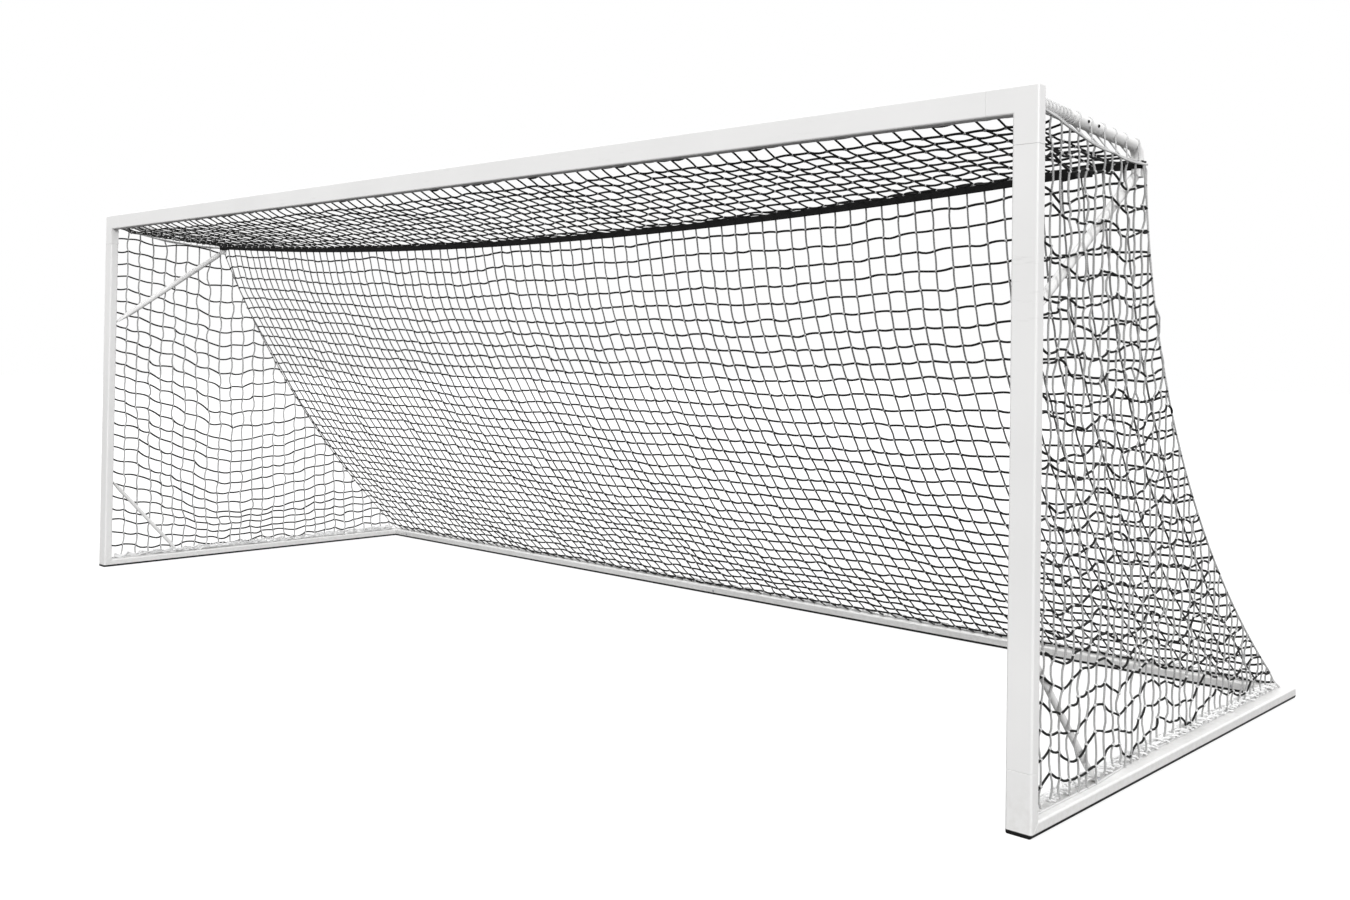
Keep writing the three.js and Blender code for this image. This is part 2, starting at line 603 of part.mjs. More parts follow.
// Roof: straight behind the crossbar, sagging at the fold, where it lies over the strap.
function addRoof() {
  const block = new THREE.BoxGeometry(2 * ROOF_HALF_WIDTH, 1, ROOF_THICK, 20, 3, 1);
  const geometry = bend(block, (p) => {
    const along = p.y + 0.5;
    p.y = netFront + along * (FOLD_Y - netFront);
    p.z += ROOF_FRONT_Z + along * (foldZ(p.x) - ROOF_FRONT_Z);
  });
  addPiece(net, 'net_roof', geometry, WHITE_TWINE(), [0, FRONT, 0]);
}

// The hanging curve of the back from the fold to the ground, by a parameter from 0 to 1.
function backCurve(x) {
  return new THREE.QuadraticBezierCurve(
    new THREE.Vector2(FOLD_Y + BACK_BEHIND_FOLD, foldZ(x)),
    new THREE.Vector2(BACK_SAG_Y - BACK_SAG_SHIFT * x / ROOF_HALF_WIDTH, BACK_SAG_Z),
    new THREE.Vector2(BACK_FOOT_Y, THICK + NET_ABOVE_BASE),
  );
}

function addBack() {
  const block = new THREE.BoxGeometry(2 * ROOF_HALF_WIDTH, BACK_THICK, 1, 20, 1, 10);
  const geometry = bend(block, (p) => {
    const onCurve = backCurve(p.x).getPoint(0.5 - p.z);
    p.y += onCurve.x;
    p.z = onCurve.y;
  });
  addPiece(net, 'net_back', geometry, WHITE_TWINE(), [0, FRONT, 0]);
}

function addSide(side, label) {
  const shape = new THREE.Shape();
  shape.moveTo(netFront, THICK + NET_ABOVE_BASE);
  shape.lineTo(netFront, ROOF_FRONT_Z);
  backCurve(side * ROOF_HALF_WIDTH).getPoints(10).forEach((p) => shape.lineTo(p.x, p.y));
  shape.closePath();
  const geometry = new THREE.ExtrudeGeometry(shape, { depth: NET_THICK, bevelEnabled: false });
  turnToX(geometry).translate(-NET_THICK / 2, 0, 0);
  const place = [side * (SIDE_NET_X + NET_THICK / 2), FRONT, 0];
  addPiece(net, `net_side_${label}`, geometry, WHITE_TWINE(), place);
}

// ---------- assembly ----------
addCrossbar();
[[1, 'right'], [-1, 'left']].forEach(([side, label]) => {
  addTopCorner(side, label);
  addUpright(side, label);
  addFoot(side, label);
  addVerticalSpline(`foot_spline_${label}`, side, FOOT_HEIGHT, FOOT_HEIGHT + BOLT_INSET);
  addVerticalSpline(`corner_spline_${label}`, side, UPRIGHT_TOP, UPRIGHT_TOP - BOLT_INSET);
  addCrossbarSpline(side, label);
  addBaseSide(side, label);
  addRearStub(side, label);
  addRearBar(side, label);
  addRearSpline(label, side * BAR_HALF, side * (BAR_HALF - BOLT_INSET - JOINT_GAP));
  addSocket(side, label);
  addTopTube(side, label);
  addBrace(side, label);
  addLowerBrace(side, label);
  addLoop(side, label);
  addSide(side, label);
});
addRearSpline('middle', 0, BOLT_INSET + JOINT_GAP);
addStrap();
addBuckle();
addRoof();
addBack();

export default goal;
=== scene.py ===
"""Looks of a full-size portable soccer goal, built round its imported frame.

Metres, +Z up, the mouth faces -Y, the origin is on the ground in the middle of the footprint.
Depths called "back" are measured from the front face of the posts.
"""

import logging
import math
import time
from collections.abc import Callable, Iterable, Iterator, Sequence
from dataclasses import dataclass, field
from enum import Enum, IntEnum

import bmesh
import bpy
import numpy as np
from bmesh.types import BMEdge, BMesh, BMFace, BMVert
from mathutils import Matrix, Quaternion, Vector


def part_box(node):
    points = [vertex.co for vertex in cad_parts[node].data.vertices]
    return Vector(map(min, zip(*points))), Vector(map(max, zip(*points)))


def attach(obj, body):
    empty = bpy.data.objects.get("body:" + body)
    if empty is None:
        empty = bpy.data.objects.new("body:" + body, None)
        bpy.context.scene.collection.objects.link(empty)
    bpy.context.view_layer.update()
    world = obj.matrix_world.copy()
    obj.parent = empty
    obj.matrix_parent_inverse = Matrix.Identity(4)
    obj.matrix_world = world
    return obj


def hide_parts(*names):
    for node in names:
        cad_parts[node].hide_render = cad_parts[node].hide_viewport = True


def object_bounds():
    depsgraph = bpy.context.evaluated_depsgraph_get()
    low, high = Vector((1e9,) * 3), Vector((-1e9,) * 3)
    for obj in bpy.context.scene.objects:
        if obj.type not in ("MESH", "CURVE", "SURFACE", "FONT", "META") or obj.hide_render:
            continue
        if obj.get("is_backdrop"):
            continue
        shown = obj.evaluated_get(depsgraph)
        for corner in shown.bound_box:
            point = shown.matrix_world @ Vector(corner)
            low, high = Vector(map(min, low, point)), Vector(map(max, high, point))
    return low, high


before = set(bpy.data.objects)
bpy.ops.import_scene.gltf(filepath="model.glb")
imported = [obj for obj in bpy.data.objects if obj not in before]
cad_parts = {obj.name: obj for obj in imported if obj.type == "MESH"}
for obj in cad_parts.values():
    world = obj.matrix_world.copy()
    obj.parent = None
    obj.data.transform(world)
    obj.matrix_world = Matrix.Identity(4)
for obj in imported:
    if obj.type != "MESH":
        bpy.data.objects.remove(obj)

CAD_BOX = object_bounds()
LOG = logging.getLogger("goal")

GOAL = "goal"
LEVER = "lever"
FRONT = -1.27
POST_X = 3.7108
SIDES: tuple[tuple[int, str], ...] = ((1, "right"), (-1, "left"))


class Axis(IntEnum):
    """The direction that a straight piece runs in."""

    X = 0
    Y = 1
    Z = 2


class Slot(Enum):
    """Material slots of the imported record."""

    COAT = "white_coat"
    ALUMINIUM = "mill_aluminium"
    ZINC = "zinc_steel"
    WEBBING = "black_webbing"
    PLASTIC = "black_plastic"
    TWINE = "white_twine"


# ---------------------------------------------------------------- shader graphs


class Graph:
    """Short calls for filling a node tree."""

    def __init__(self, tree: bpy.types.NodeTree) -> None:
        """Empties the tree that it is given.

        Args:
            tree: The node tree to fill.
        """
        self.tree = tree
        self.tree.nodes.clear()

    def node(self, kind: str, values: dict[str | int, object] | None = None,
             **settings: object) -> bpy.types.Node:
        """Adds one node.

        Args:
            kind: Its type, without the leading "ShaderNode".
            values: Input sockets by name or index; a socket is linked, anything else is its value.
            **settings: Properties of the node itself.

        Returns:
            The new node.
        """
        made = self.tree.nodes.new(kind if kind.startswith("Node") else f"ShaderNode{kind}")
        for name, value in settings.items():
            setattr(made, name, value)
        for key, value in (values or {}).items():
            if isinstance(value, bpy.types.NodeSocket):
                self.tree.links.new(value, made.inputs[key])
            else:
                made.inputs[key].default_value = value
        return made

    def out(self, kind: str, values: dict[str | int, object] | None = None, socket: str | int = 0,
            **settings: object) -> bpy.types.NodeSocket:
        """Adds one node and gives one of its outputs.

        Args:
            kind: Its type, without the leading "ShaderNode".
            values: Input sockets by name or index.
            socket: The output wanted.
            **settings: Properties of the node itself.

        Returns:
            The output socket.
        """
        return self.node(kind, values, **settings).outputs[socket]

    def math(self, operation: str, *values: object) -> bpy.types.NodeSocket:
        """Adds a Math node.

        Args:
            operation: Its operation.
            *values: Its inputs in order, sockets or numbers.

        Returns:
            The result.
        """
        return self.out("Math", dict(enumerate(values)), operation=operation)

    def mix(self, factor: object, first: object, second: object) -> bpy.types.NodeSocket:
        """Mixes two colours.

        Args:
            factor: How much of the second shows.
            first: Socket or RGBA.
            second: Socket or RGBA.

        Returns:
            The mixed colour.
        """
        return self.out("Mix", {0: factor, 6: first, 7: second}, 2, data_type="RGBA")

    def span(self, value: object, low: float, high: float, to_low: float,
             to_high: float) -> bpy.types.NodeSocket:
        """Maps a range of values to another, clamped.

        Args:
            value: The socket to map.
            low: Where the source range starts.
            high: Where it ends.
            to_low: What the start becomes.
            to_high: What the end becomes.

        Returns:
            The mapped value.
        """
        return self.out("MapRange", {0: value, 1: low, 2: high, 3: to_low, 4: to_high})

    def feed(self, shader: bpy.types.Node, colour: object, rough: object, height: object,
             bump: tuple[float, float]) -> None:
        """Feeds a shader with all that varies over its surface.

        Args:
            shader: The Principled shader.
            colour: Socket of its base colour.
            rough: Socket of its roughness.
            height: Socket of the height that its bump follows.
            bump: Strength of the bump and its depth in metres.
        """
        raised = self.out("Bump", {"Height": height, "Strength": bump[0], "Distance": bump[1]})
        for name, socket in (("Base Color", colour), ("Roughness", rough), ("Normal", raised)):
            self.tree.links.new(socket, shader.inputs[name])


def effect(name: str, inputs: dict[str, tuple[str, float]], outputs: Sequence[str],
           fill: Callable[[Graph, bpy.types.Node], dict[str, bpy.types.NodeSocket]]) -> bpy.types.NodeTree:
    """Builds a shader node group once, and gives the same one again after that.

    Args:
        name: The group's name.
        inputs: Socket type and starting value of each input, after the Vector every effect has.
        outputs: The names of its values that vary over the surface.
        fill: Puts the nodes in, and returns the socket behind each output.

    Returns:
        The group.
    """
    if name in bpy.data.node_groups:
        return bpy.data.node_groups[name]
    tree = bpy.data.node_groups.new(name, "ShaderNodeTree")
    graph = Graph(tree)
    tree.interface.new_socket("Vector", in_out="INPUT", socket_type="NodeSocketVector")
    for label, (kind, value) in inputs.items():
        tree.interface.new_socket(label, in_out="INPUT", socket_type=kind).default_value = value
    for label in outputs:
        tree.interface.new_socket(label, in_out="OUTPUT", socket_type="NodeSocketFloat")
    source = graph.node("NodeGroupInput")
    graph.node("NodeGroupOutput", dict(fill(graph, source)))
    return tree


FLOAT = "NodeSocketFloat"


def surface_grain() -> bpy.types.NodeTree:
    """Fine even roughness of a coated or moulded surface, with a slow drift of tone."""

    def fill(graph: Graph, source: bpy.types.Node) -> dict[str, bpy.types.NodeSocket]:
        """Two noises, one fine and one broad."""
        vector, scale = source.outputs["Vector"], source.outputs["Scale"]
        fine = graph.out("TexNoise", {"Vector": vector, "Scale": scale, "Detail": 2.0, "Roughness": 0.6})
        broad = graph.out("TexNoise", {"Vector": vector, "Scale": graph.math("MULTIPLY", scale, 0.006),
                                       "Detail": 3.0})
        return {"Height": fine, "Tone": graph.span(broad, 0.3, 0.7, 0.0, 1.0)}

    return effect("surface_grain", {"Scale": (FLOAT, 500.0)}, ("Height", "Tone"), fill)


def handling_marks() -> bpy.types.NodeTree:
    """Sparse scuffs and rubbed streaks."""

    def fill(graph: Graph, source: bpy.types.Node) -> dict[str, bpy.types.NodeSocket]:
        """A stretched noise that shows only at its peaks, broken up by a broad one."""
        vector = source.outputs["Vector"]
        long = graph.out("Mapping", {"Vector": vector, "Scale": (9.0, 9.0, 45.0)})
        streak = graph.out("TexNoise", {"Vector": long, "Scale": 1.0, "Detail": 5.0, "Roughness": 0.65})
        patch = graph.out("TexNoise", {"Vector": vector, "Scale": 2.3, "Detail": 2.0})
        peaks = graph.span(streak, 0.58, 0.7, 0.0, 1.0)
        where = graph.span(patch, 0.48, 0.66, 0.0, 1.0)
        both = graph.math("MULTIPLY", peaks, where)
        return {"Mask": graph.math("MULTIPLY", both, source.outputs["Amount"])}

    return effect("handling_marks", {"Amount": (FLOAT, 0.5)}, ("Mask",), fill)


def ground_dust() -> bpy.types.NodeTree:
    """Dust that has splashed up from the ground and thins out with height."""

    def fill(graph: Graph, source: bpy.types.Node) -> dict[str, bpy.types.NodeSocket]:
        """Height above the ground, broken by a speckle."""
        vector = source.outputs["Vector"]
        height = graph.out("SeparateXYZ", {0: vector}, "Z")
        low = graph.math("SUBTRACT", 1.0, graph.math("DIVIDE", height, source.outputs["Reach"]))
        speckle = graph.out("TexNoise", {"Vector": vector, "Scale": 38.0, "Detail": 6.0, "Roughness": 0.7})
        spots = graph.span(speckle, 0.42, 0.68, 0.0, 1.0)
        spotted = graph.math("MULTIPLY", graph.out("Clamp", {0: low}), spots)
        return {"Mask": graph.math("MULTIPLY", spotted, source.outputs["Amount"])}

    return effect("ground_dust", {"Reach": (FLOAT, 0.3), "Amount": (FLOAT, 0.4)}, ("Mask",), fill)


def strand_twist() -> bpy.types.NodeTree:
    """Slanting strands of a laid or braided cord, with loose fibres."""

    def fill(graph: Graph, source: bpy.types.Node) -> dict[str, bpy.types.NodeSocket]:
        """Two crossing sets of slanting bands, softened by a fibre noise."""
        vector, count = source.outputs["Vector"], source.outputs["Strands"]
        right = graph.out("TexWave", {"Vector": vector, "Scale": count, "Distortion": 0.6}, 1,
                          bands_direction="DIAGONAL")
        turned = graph.out("Mapping", {"Vector": vector, "Rotation": (0.0, math.radians(95), 0.0)})
        left = graph.out("TexWave", {"Vector": turned, "Scale": count, "Distortion": 0.6}, 1,
                         bands_direction="DIAGONAL")
        fibre = graph.out("TexNoise", {"Vector": vector, "Scale": 900.0, "Detail": 3.0})
        strands = graph.math("MAXIMUM", right, left)
        height = graph.math("ADD", strands, graph.math("MULTIPLY", fibre, 0.5))
        drift = graph.out("TexNoise", {"Vector": vector, "Scale": 11.0, "Detail": 3.0})
        shade = graph.math("MULTIPLY", graph.span(strands, 0.2, 0.9, 0.35, 1.0),
                           graph.span(drift, 0.3, 0.7, 0.7, 1.0))
        return {"Height": height, "Shade": shade}

    return effect("strand_twist", {"Strands": (FLOAT, 90.0)}, ("Height", "Shade"), fill)


def web_weave() -> bpy.types.NodeTree:
    """Cross ribs of a flat woven webbing, with the rows of its warp."""

    def fill(graph: Graph, source: bpy.types.Node) -> dict[str, bpy.types.NodeSocket]:
        """Ribs along X crossed by rows along Z."""
        vector, ribs = source.outputs["Vector"], source.outputs["Ribs"]
        across = graph.out("TexWave", {"Vector": vector, "Scale": ribs}, 1, bands_direction="X")
        rows = graph.out("TexWave", {"Vector": vector, "Scale": graph.math("MULTIPLY", ribs, 0.7)}, 1,
                         bands_direction="Z")
        height = graph.math("ADD", across, graph.math("MULTIPLY", rows, 0.6))
        lint = graph.out("TexNoise", {"Vector": vector, "Scale": 420.0, "Detail": 4.0})
        shade = graph.math("MULTIPLY", graph.span(height, 0.2, 1.5, 0.2, 1.0),
                           graph.span(lint, 0.35, 0.7, 0.6, 1.0))
        return {"Height": height, "Shade": shade}

    return effect("web_weave", {"Ribs": (FLOAT, 160.0)}, ("Height", "Shade"), fill)


Colour = tuple[float, float, float, float]


def grey(value: float, warm: float = 0.0) -> Colour:
    """A near-neutral colour.

    Args:
        value: Its lightness, linear.
        warm: How far it leans to yellow.

    Returns:
        Linear RGBA.
    """
    return (value * (1 + warm), value, value * (1 - 1.5 * warm), 1.0)


def new_material(name: str) -> tuple[bpy.types.Material, Graph, bpy.types.Node, bpy.types.NodeSocket]:
    """Starts a material on the object's own coordinates.

    Args:
        name: The material's name.

    Returns:
        The material, its graph, its Principled shader and the coordinates.
    """
    material = bpy.data.materials.new(name)
    material.use_nodes = True
    graph = Graph(material.node_tree)
    shader = graph.node("BsdfPrincipled")
    graph.node("OutputMaterial", {"Surface": shader.outputs[0]})
    return material, graph, shader, graph.out("TexCoord", socket="Object")


@dataclass(frozen=True)
class PowderCoat:
    """White baked coat: faint orange peel, rubbed streaks, dust near the ground, and a black line of painted
    contact shadow at its foot.

    Attributes:
        drift: How dark the slow drift of its tone goes, as a share of the tint.
        painted_shadow_height: Heights between which the black line of painted contact shadow fades out.
        grain: Scale of the orange peel.
    """

    name: str = "powder_coat"
    tint: Colour = grey(0.86, 0.004)
    worn: Colour = grey(0.52, 0.01)
    dust: Colour = (0.42, 0.39, 0.34, 1.0)
    # Near black: the painted contact shadow along the foot of each bar.
    painted_shadow: Colour = grey(0.004)
    marks: float = 0.22
    dust_amount: float = 0.2
    dust_reach: float = 0.22
    painted_shadow_height: tuple[float, float] = (0.0125, 0.0150)
    drift: float = 0.955
    grain: float = 420.0
    bump: tuple[float, float] = (0.12, 0.0004)

    def material(self) -> bpy.types.Material:
        """The finished material."""
        material, graph, shader, place = new_material(self.name)
        grain = graph.node("Group", {"Vector": place, "Scale": self.grain}, node_tree=surface_grain())
        marks = graph.out("Group", {"Vector": place, "Amount": self.marks}, node_tree=handling_marks())
        dust = graph.out("Group", {"Vector": place, "Reach": self.dust_reach, "Amount": self.dust_amount},
                         node_tree=ground_dust())
        darker = tuple(self.drift * c for c in self.tint[:3]) + (1.0,)
        toned = graph.mix(grain.outputs["Tone"], self.tint, darker)
        rubbed = graph.mix(marks, toned, self.worn)
        shader.inputs["Specular IOR Level"].default_value = 0.45
        shader.inputs["Coat Weight"].default_value = 0.35
        shader.inputs["Coat Roughness"].default_value = 0.15
        # Painted shadow: below these heights the coat turns black, where the bar meets the floor.
        height = graph.out("SeparateXYZ", {0: place}, "Z")
        painted_shadow = graph.span(height, *self.painted_shadow_height, 1.0, 0.0)
        colour = graph.mix(painted_shadow, graph.mix(dust, rubbed, self.dust), self.painted_shadow)
        rough = graph.math("ADD", graph.span(grain.outputs["Tone"], 0.0, 1.0, 0.28, 0.38),
                           graph.math("MULTIPLY", graph.math("ADD", dust, marks), 0.4))
        graph.feed(shader, colour, rough, grain.outputs["Height"], self.bump)
        return material


@dataclass(frozen=True)
class BareMetal:
    """Uncoated or plated metal with a fine drawn grain and dull patches."""

    name: str
    bright: Colour
    dull: Colour
    roughness: tuple[float, float] = (0.28, 0.5)
    metallic: float = 1.0
    marks: float = 0.8
    grain: float = 900.0
    bump: tuple[float, float] = (0.2, 0.0003)

    def material(self) -> bpy.types.Material:
        """The finished material."""
        material, graph, shader, place = new_material(self.name)
        shader.inputs["Metallic"].default_value = self.metallic
        grain = graph.node("Group", {"Vector": place, "Scale": self.grain}, node_tree=surface_grain())
        marks = graph.out("Group", {"Vector": place, "Amount": self.marks}, node_tree=handling_marks())
        worn = graph.mix(marks, graph.mix(grain.outputs["Height"], self.bright, self.dull), self.dull)
        rough = graph.span(grain.outputs["Tone"], 0.0, 1.0, *self.roughness)
        graph.feed(shader, worn, rough, grain.outputs["Height"], self.bump)
        return material


@dataclass(frozen=True)
class MouldedPlastic:
    """Moulded plastic: fine spark-eroded grain, paler where it has been handled."""

    name: str
    tint: Colour
    rubbed: Colour
    roughness: tuple[float, float] = (0.38, 0.55)
    marks: float = 0.7
    grain: float = 1500.0
    bump: tuple[float, float] = (0.35, 0.0002)

    def material(self) -> bpy.types.Material:
        """The finished material."""
        material, graph, shader, place = new_material(self.name)
        grain = graph.node("Group", {"Vector": place, "Scale": self.grain}, node_tree=surface_grain())
        marks = graph.out("Group", {"Vector": place, "Amount": self.marks}, node_tree=handling_marks())
        colour = graph.mix(marks, self.tint, self.rubbed)
        rough = graph.span(grain.outputs["Tone"], 0.0, 1.0, *self.roughness)
        graph.feed(shader, colour, rough, grain.outputs["Height"], self.bump)
        return material


@dataclass(frozen=True)
class Twine:
    """Twisted plastic twine: slanting strands, pale on their crowns and darker between them in painted
    shade, with a slow random drift of tone.

    Attributes:
        strands: Scale of the strands.
        painted_top_light: Painted light, what the crowns fade to towards the top, if they do.
        painted_light_height: Heights between which they fade to it.
    """

    name: str
    crown: Colour
    valley: Colour
    strands: float = 90.0
    painted_top_light: Colour | None = None
    painted_light_height: tuple[float, float] = (0.9, 2.1)
    roughness: tuple[float, float] = (0.85, 0.6)
    bump: tuple[float, float] = (0.5, 0.0006)

    def material(self) -> bpy.types.Material:
        """The finished material."""
        material, graph, shader, place = new_material(self.name)
        twist = graph.node("Group", {"Vector": place, "Strands": self.strands}, node_tree=strand_twist())
        # Painted shade: the colour darkens between the strands, with a slow random drift of tone.
        colour = graph.mix(twist.outputs["Shade"], self.valley, self.crown)
        # Painted light: the crowns turn lighter towards the top, for the light that falls on the upper
        # cords.
        if self.painted_top_light:
            height = graph.out("SeparateXYZ", {0: place}, "Z")
            share = graph.span(height, *self.painted_light_height, 0.0, 1.0)
            colour = graph.mix(graph.math("MULTIPLY", share, twist.outputs["Shade"]), colour, self.painted_top_light)
        rough = graph.span(twist.outputs["Shade"], 0.0, 1.0, *self.roughness)
        shader.inputs["Specular IOR Level"].default_value = 0.2
        graph.feed(shader, colour, rough, twist.outputs["Height"], self.bump)
        return material


@dataclass(frozen=True)
class Webbing:
    """Flat woven black webbing."""

    name: str = "webbing"
    crown: Colour = grey(0.012)
    valley: Colour = grey(0.003)
    ribs: float = 160.0
    roughness: tuple[float, float] = (0.95, 0.7)
    bump: tuple[float, float] = (0.6, 0.0008)

    def material(self) -> bpy.types.Material:
        """The finished material."""
        material, graph, shader, place = new_material(self.name)
        weave = graph.node("Group", {"Vector": place, "Ribs": self.ribs}, node_tree=web_weave())
        # Painted shade: the colour darkens in the weave's low parts, broken by a random lint noise.
        colour = graph.mix(weave.outputs["Shade"], self.valley, self.crown)
        rough = graph.span(weave.outputs["Shade"], 0.0, 1.0, *self.roughness)
        shader.inputs["Specular IOR Level"].default_value = 0.2
        graph.feed(shader, colour, rough, weave.outputs["Height"], self.bump)
        return material


@dataclass
class Finishes:
    """Every finish of the goal, each made once."""

    coat: bpy.types.Material = field(default_factory=lambda: PowderCoat().material())
    aluminium: bpy.types.Material = field(default_factory=lambda: BareMetal(
        "drawn_aluminium", grey(0.62), grey(0.4)).material())
    zinc: bpy.types.Material = field(default_factory=lambda: BareMetal(
        "zinc_plate", (0.62, 0.63, 0.66, 1.0), (0.38, 0.38, 0.4, 1.0)).material())
    dark_steel: bpy.types.Material = field(default_factory=lambda: BareMetal(
        "blackened_steel", grey(0.05), grey(0.02), (0.35, 0.55), 0.8).material())
    webbing: bpy.types.Material = field(default_factory=lambda: Webbing().material())
    buckle: bpy.types.Material = field(default_factory=lambda: MouldedPlastic(
        "buckle_plastic", grey(0.012), grey(0.05)).material())
    clip: bpy.types.Material = field(default_factory=lambda: MouldedPlastic(
        "clip_plastic", grey(0.72), grey(0.5)).material())
    # Painted shade: the net's twine is white, and these darker greys stand in for its shade: near black for
    # the rows and the roof, dark grey for the back's falling cords, mid grey for the sides' falling cords.
    cross_twine_painted_shade: bpy.types.Material = field(default_factory=lambda: Twine(
        "cross_twine_painted_shade", grey(0.018), grey(0.005)).material())
    # Painted light: the back's falling cords turn lighter towards the top.
    fall_twine_painted_shade: bpy.types.Material = field(default_factory=lambda: Twine(
        "fall_twine_painted_shade", grey(0.08), grey(0.03), painted_top_light=grey(0.42)).material())
    side_twine_painted_shade: bpy.types.Material = field(default_factory=lambda: Twine(
        "side_twine_painted_shade", grey(0.5), grey(0.2)).material())
    knot_twine: bpy.types.Material = field(default_factory=lambda: Twine(
        "knot_twine", grey(0.72), grey(0.42), 160.0).material())
    rope: bpy.types.Material = field(default_factory=lambda: Twine(
        "border_rope", grey(0.72), grey(0.38), 70.0).material())
    spare_mesh: bpy.types.Material = field(default_factory=lambda: Twine(
        "spare_mesh", grey(0.88), grey(0.66)).material())


# ---------------------------------------------------------------- shaping


def finish_mesh(name: str, bm: BMesh, material: bpy.types.Material, slot: Slot, nodes: Sequence[str] = (),
                body: str = GOAL, weighted: bool = True) -> bpy.types.Object:
    """Turns a bmesh into a piece that rides, with its material and smooth shading.

    Args:
        name: The piece's name.
        bm: Its shape, freed here.
        material: Its finish.
        slot: The record's slot; passed on, but not used.
        nodes: The CAD nodes that it stands for.
        body: The body that it rides on.
        weighted: Whether flat faces keep their flat shading beside rounded edges.

    Returns:
        The new object.
    """
    bmesh.ops.remove_doubles(bm, verts=bm.verts, dist=1e-6)
    bmesh.ops.recalc_face_normals(bm, faces=bm.faces)
    for face in bm.faces:
        face.smooth = True
    mesh = bpy.data.meshes.new(name)
    bm.to_mesh(mesh)
    bm.free()
    mesh.materials.append(material)
    piece = bpy.data.objects.new(name, mesh)
    bpy.context.collection.objects.link(piece)
    if weighted:
        shading = piece.modifiers.new("flat_faces", "WEIGHTED_NORMAL")
        shading.mode = "FACE_AREA"
        shading.weight = 90
        shading.keep_sharp = True
    else:
        mesh.set_sharp_from_angle(angle=math.radians(40))
    return settle_piece(piece, slot, nodes, body)


def settle_piece(piece: bpy.types.Object, slot: Slot, nodes: Sequence[str], body: str) -> bpy.types.Object:
    """Gives a piece its body, hides the nodes that it replaces, and logs it.

    Args:
        piece: The piece.
        slot: Not used.
        nodes: The CAD nodes that it stands for.
        body: The body that it rides on.

    Returns:
        The same piece.
    """
    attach(piece, body)
    if nodes:
        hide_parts(*nodes)
    LOG.info("%s rides %s", piece.name, body)
    return piece


def rounded_bar(low: Vector, high: Vector, axis: Axis, radius: float, segments: int = 6) -> BMesh:
    """A bar between two corners, its long edges rounded.

    Args:
        low: Its lowest corner.
        high: Its highest corner.
        axis: The direction that it runs in.
        radius: The rounding of its long edges.
        segments: Steps in the rounding.

    Returns:
        The bar as a bmesh.
    """
    bm = bmesh.new()
    cube(bm, low, high)
    along = [e for e in bm.edges if abs((e.verts[0].co - e.verts[1].co).normalized()[axis]) > 0.99]
    round_edges(bm, along, radius, segments)
    return bm


def round_edges(bm: BMesh, edges: Sequence[BMEdge], radius: float, segments: int) -> None:
    """Rounds some edges.

    Args:
        bm: The shape.
        edges: The edges to round.
        radius: How far the rounding reaches.
        segments: Steps in the rounding.
    """
    bmesh.ops.bevel(bm, geom=list(edges), offset=radius, offset_type="OFFSET", segments=segments,
                    profile=0.5, affect="EDGES", material=-1, clamp_overlap=True)


def break_edges(bm: BMesh, width: float = 0.0014, sharper_than: float = 42.0) -> None:
    """Takes the sharpness off every edge that is still sharp.

    Args:
        bm: The shape.
        width: How wide the broken edge is.
        sharper_than: Only edges that turn by more than this, in degrees.
    """
    least = math.radians(sharper_than)
    sharp = [e for e in bm.edges if len(e.link_faces) == 2 and e.calc_face_angle(0) > least]
    round_edges(bm, sharp, width, 2)


def saw(bm: BMesh, point: Vector, towards: Vector) -> None:
    """Cuts off all that lies on one side of a plane, and closes the cut.

    Args:
        bm: The shape.
        point: A point on the plane.
        towards: The direction of the part that goes.
    """
    geometry = bm.verts[:] + bm.edges[:] + bm.faces[:]
    cut = bmesh.ops.bisect_plane(bm, geom=geometry, plane_co=point, plane_no=towards, clear_outer=True)
    rim = [g for g in cut["geom_cut"] if isinstance(g, BMEdge)]
    bmesh.ops.edgeloop_fill(bm, edges=rim)


@dataclass(frozen=True)
class Station:
    """One ring of a swept tube: its centre, the direction it faces and its half sizes."""

    centre: Vector
    heading: Vector
    wide: float
    high: float

    def matrix(self, side: Vector) -> Matrix:
        """Where a unit ring goes.

        Args:
            side: The ring's own X direction.

        Returns:
            The matrix from a unit circle in XY to the ring.
        """
        ahead = self.heading.normalized()
        up = ahead.cross(side).normalized()
        turn = Matrix((side.normalized(), up, ahead)).transposed().to_4x4()
        return Matrix.Translation(self.centre) @ turn @ Matrix.Diagonal((self.wide, self.high, 1.0, 1.0))


def swept_tube(stations: Sequence[Station], side: Vector, segments: int = 32) -> BMesh:
    """A closed round or flattened bar through some stations, made by extruding a disc along them.

    Args:
        stations: Its rings in order.
        side: The direction that stays level across it.
        segments: Corners of each ring.

    Returns:
        The bar as a bmesh.
    """
    bm = bmesh.new()
    before = stations[0].matrix(side)
    bmesh.ops.create_circle(bm, radius=1.0, segments=segments, matrix=before)
    first = ring = bm.edges[:]
    for station in stations[1:]:
        after = station.matrix(side)
        grown = bmesh.ops.extrude_edge_only(bm, edges=ring)["geom"]
        tips = {g for g in grown if isinstance(g, BMVert)}
        ring = [g for g in grown if isinstance(g, BMEdge) and tips.issuperset(g.verts)]
        bmesh.ops.transform(bm, matrix=after @ before.inverted(), verts=list(tips))
        before = after
    bmesh.ops.edgeloop_fill(bm, edges=first)
    bmesh.ops.edgeloop_fill(bm, edges=ring)
    return bm


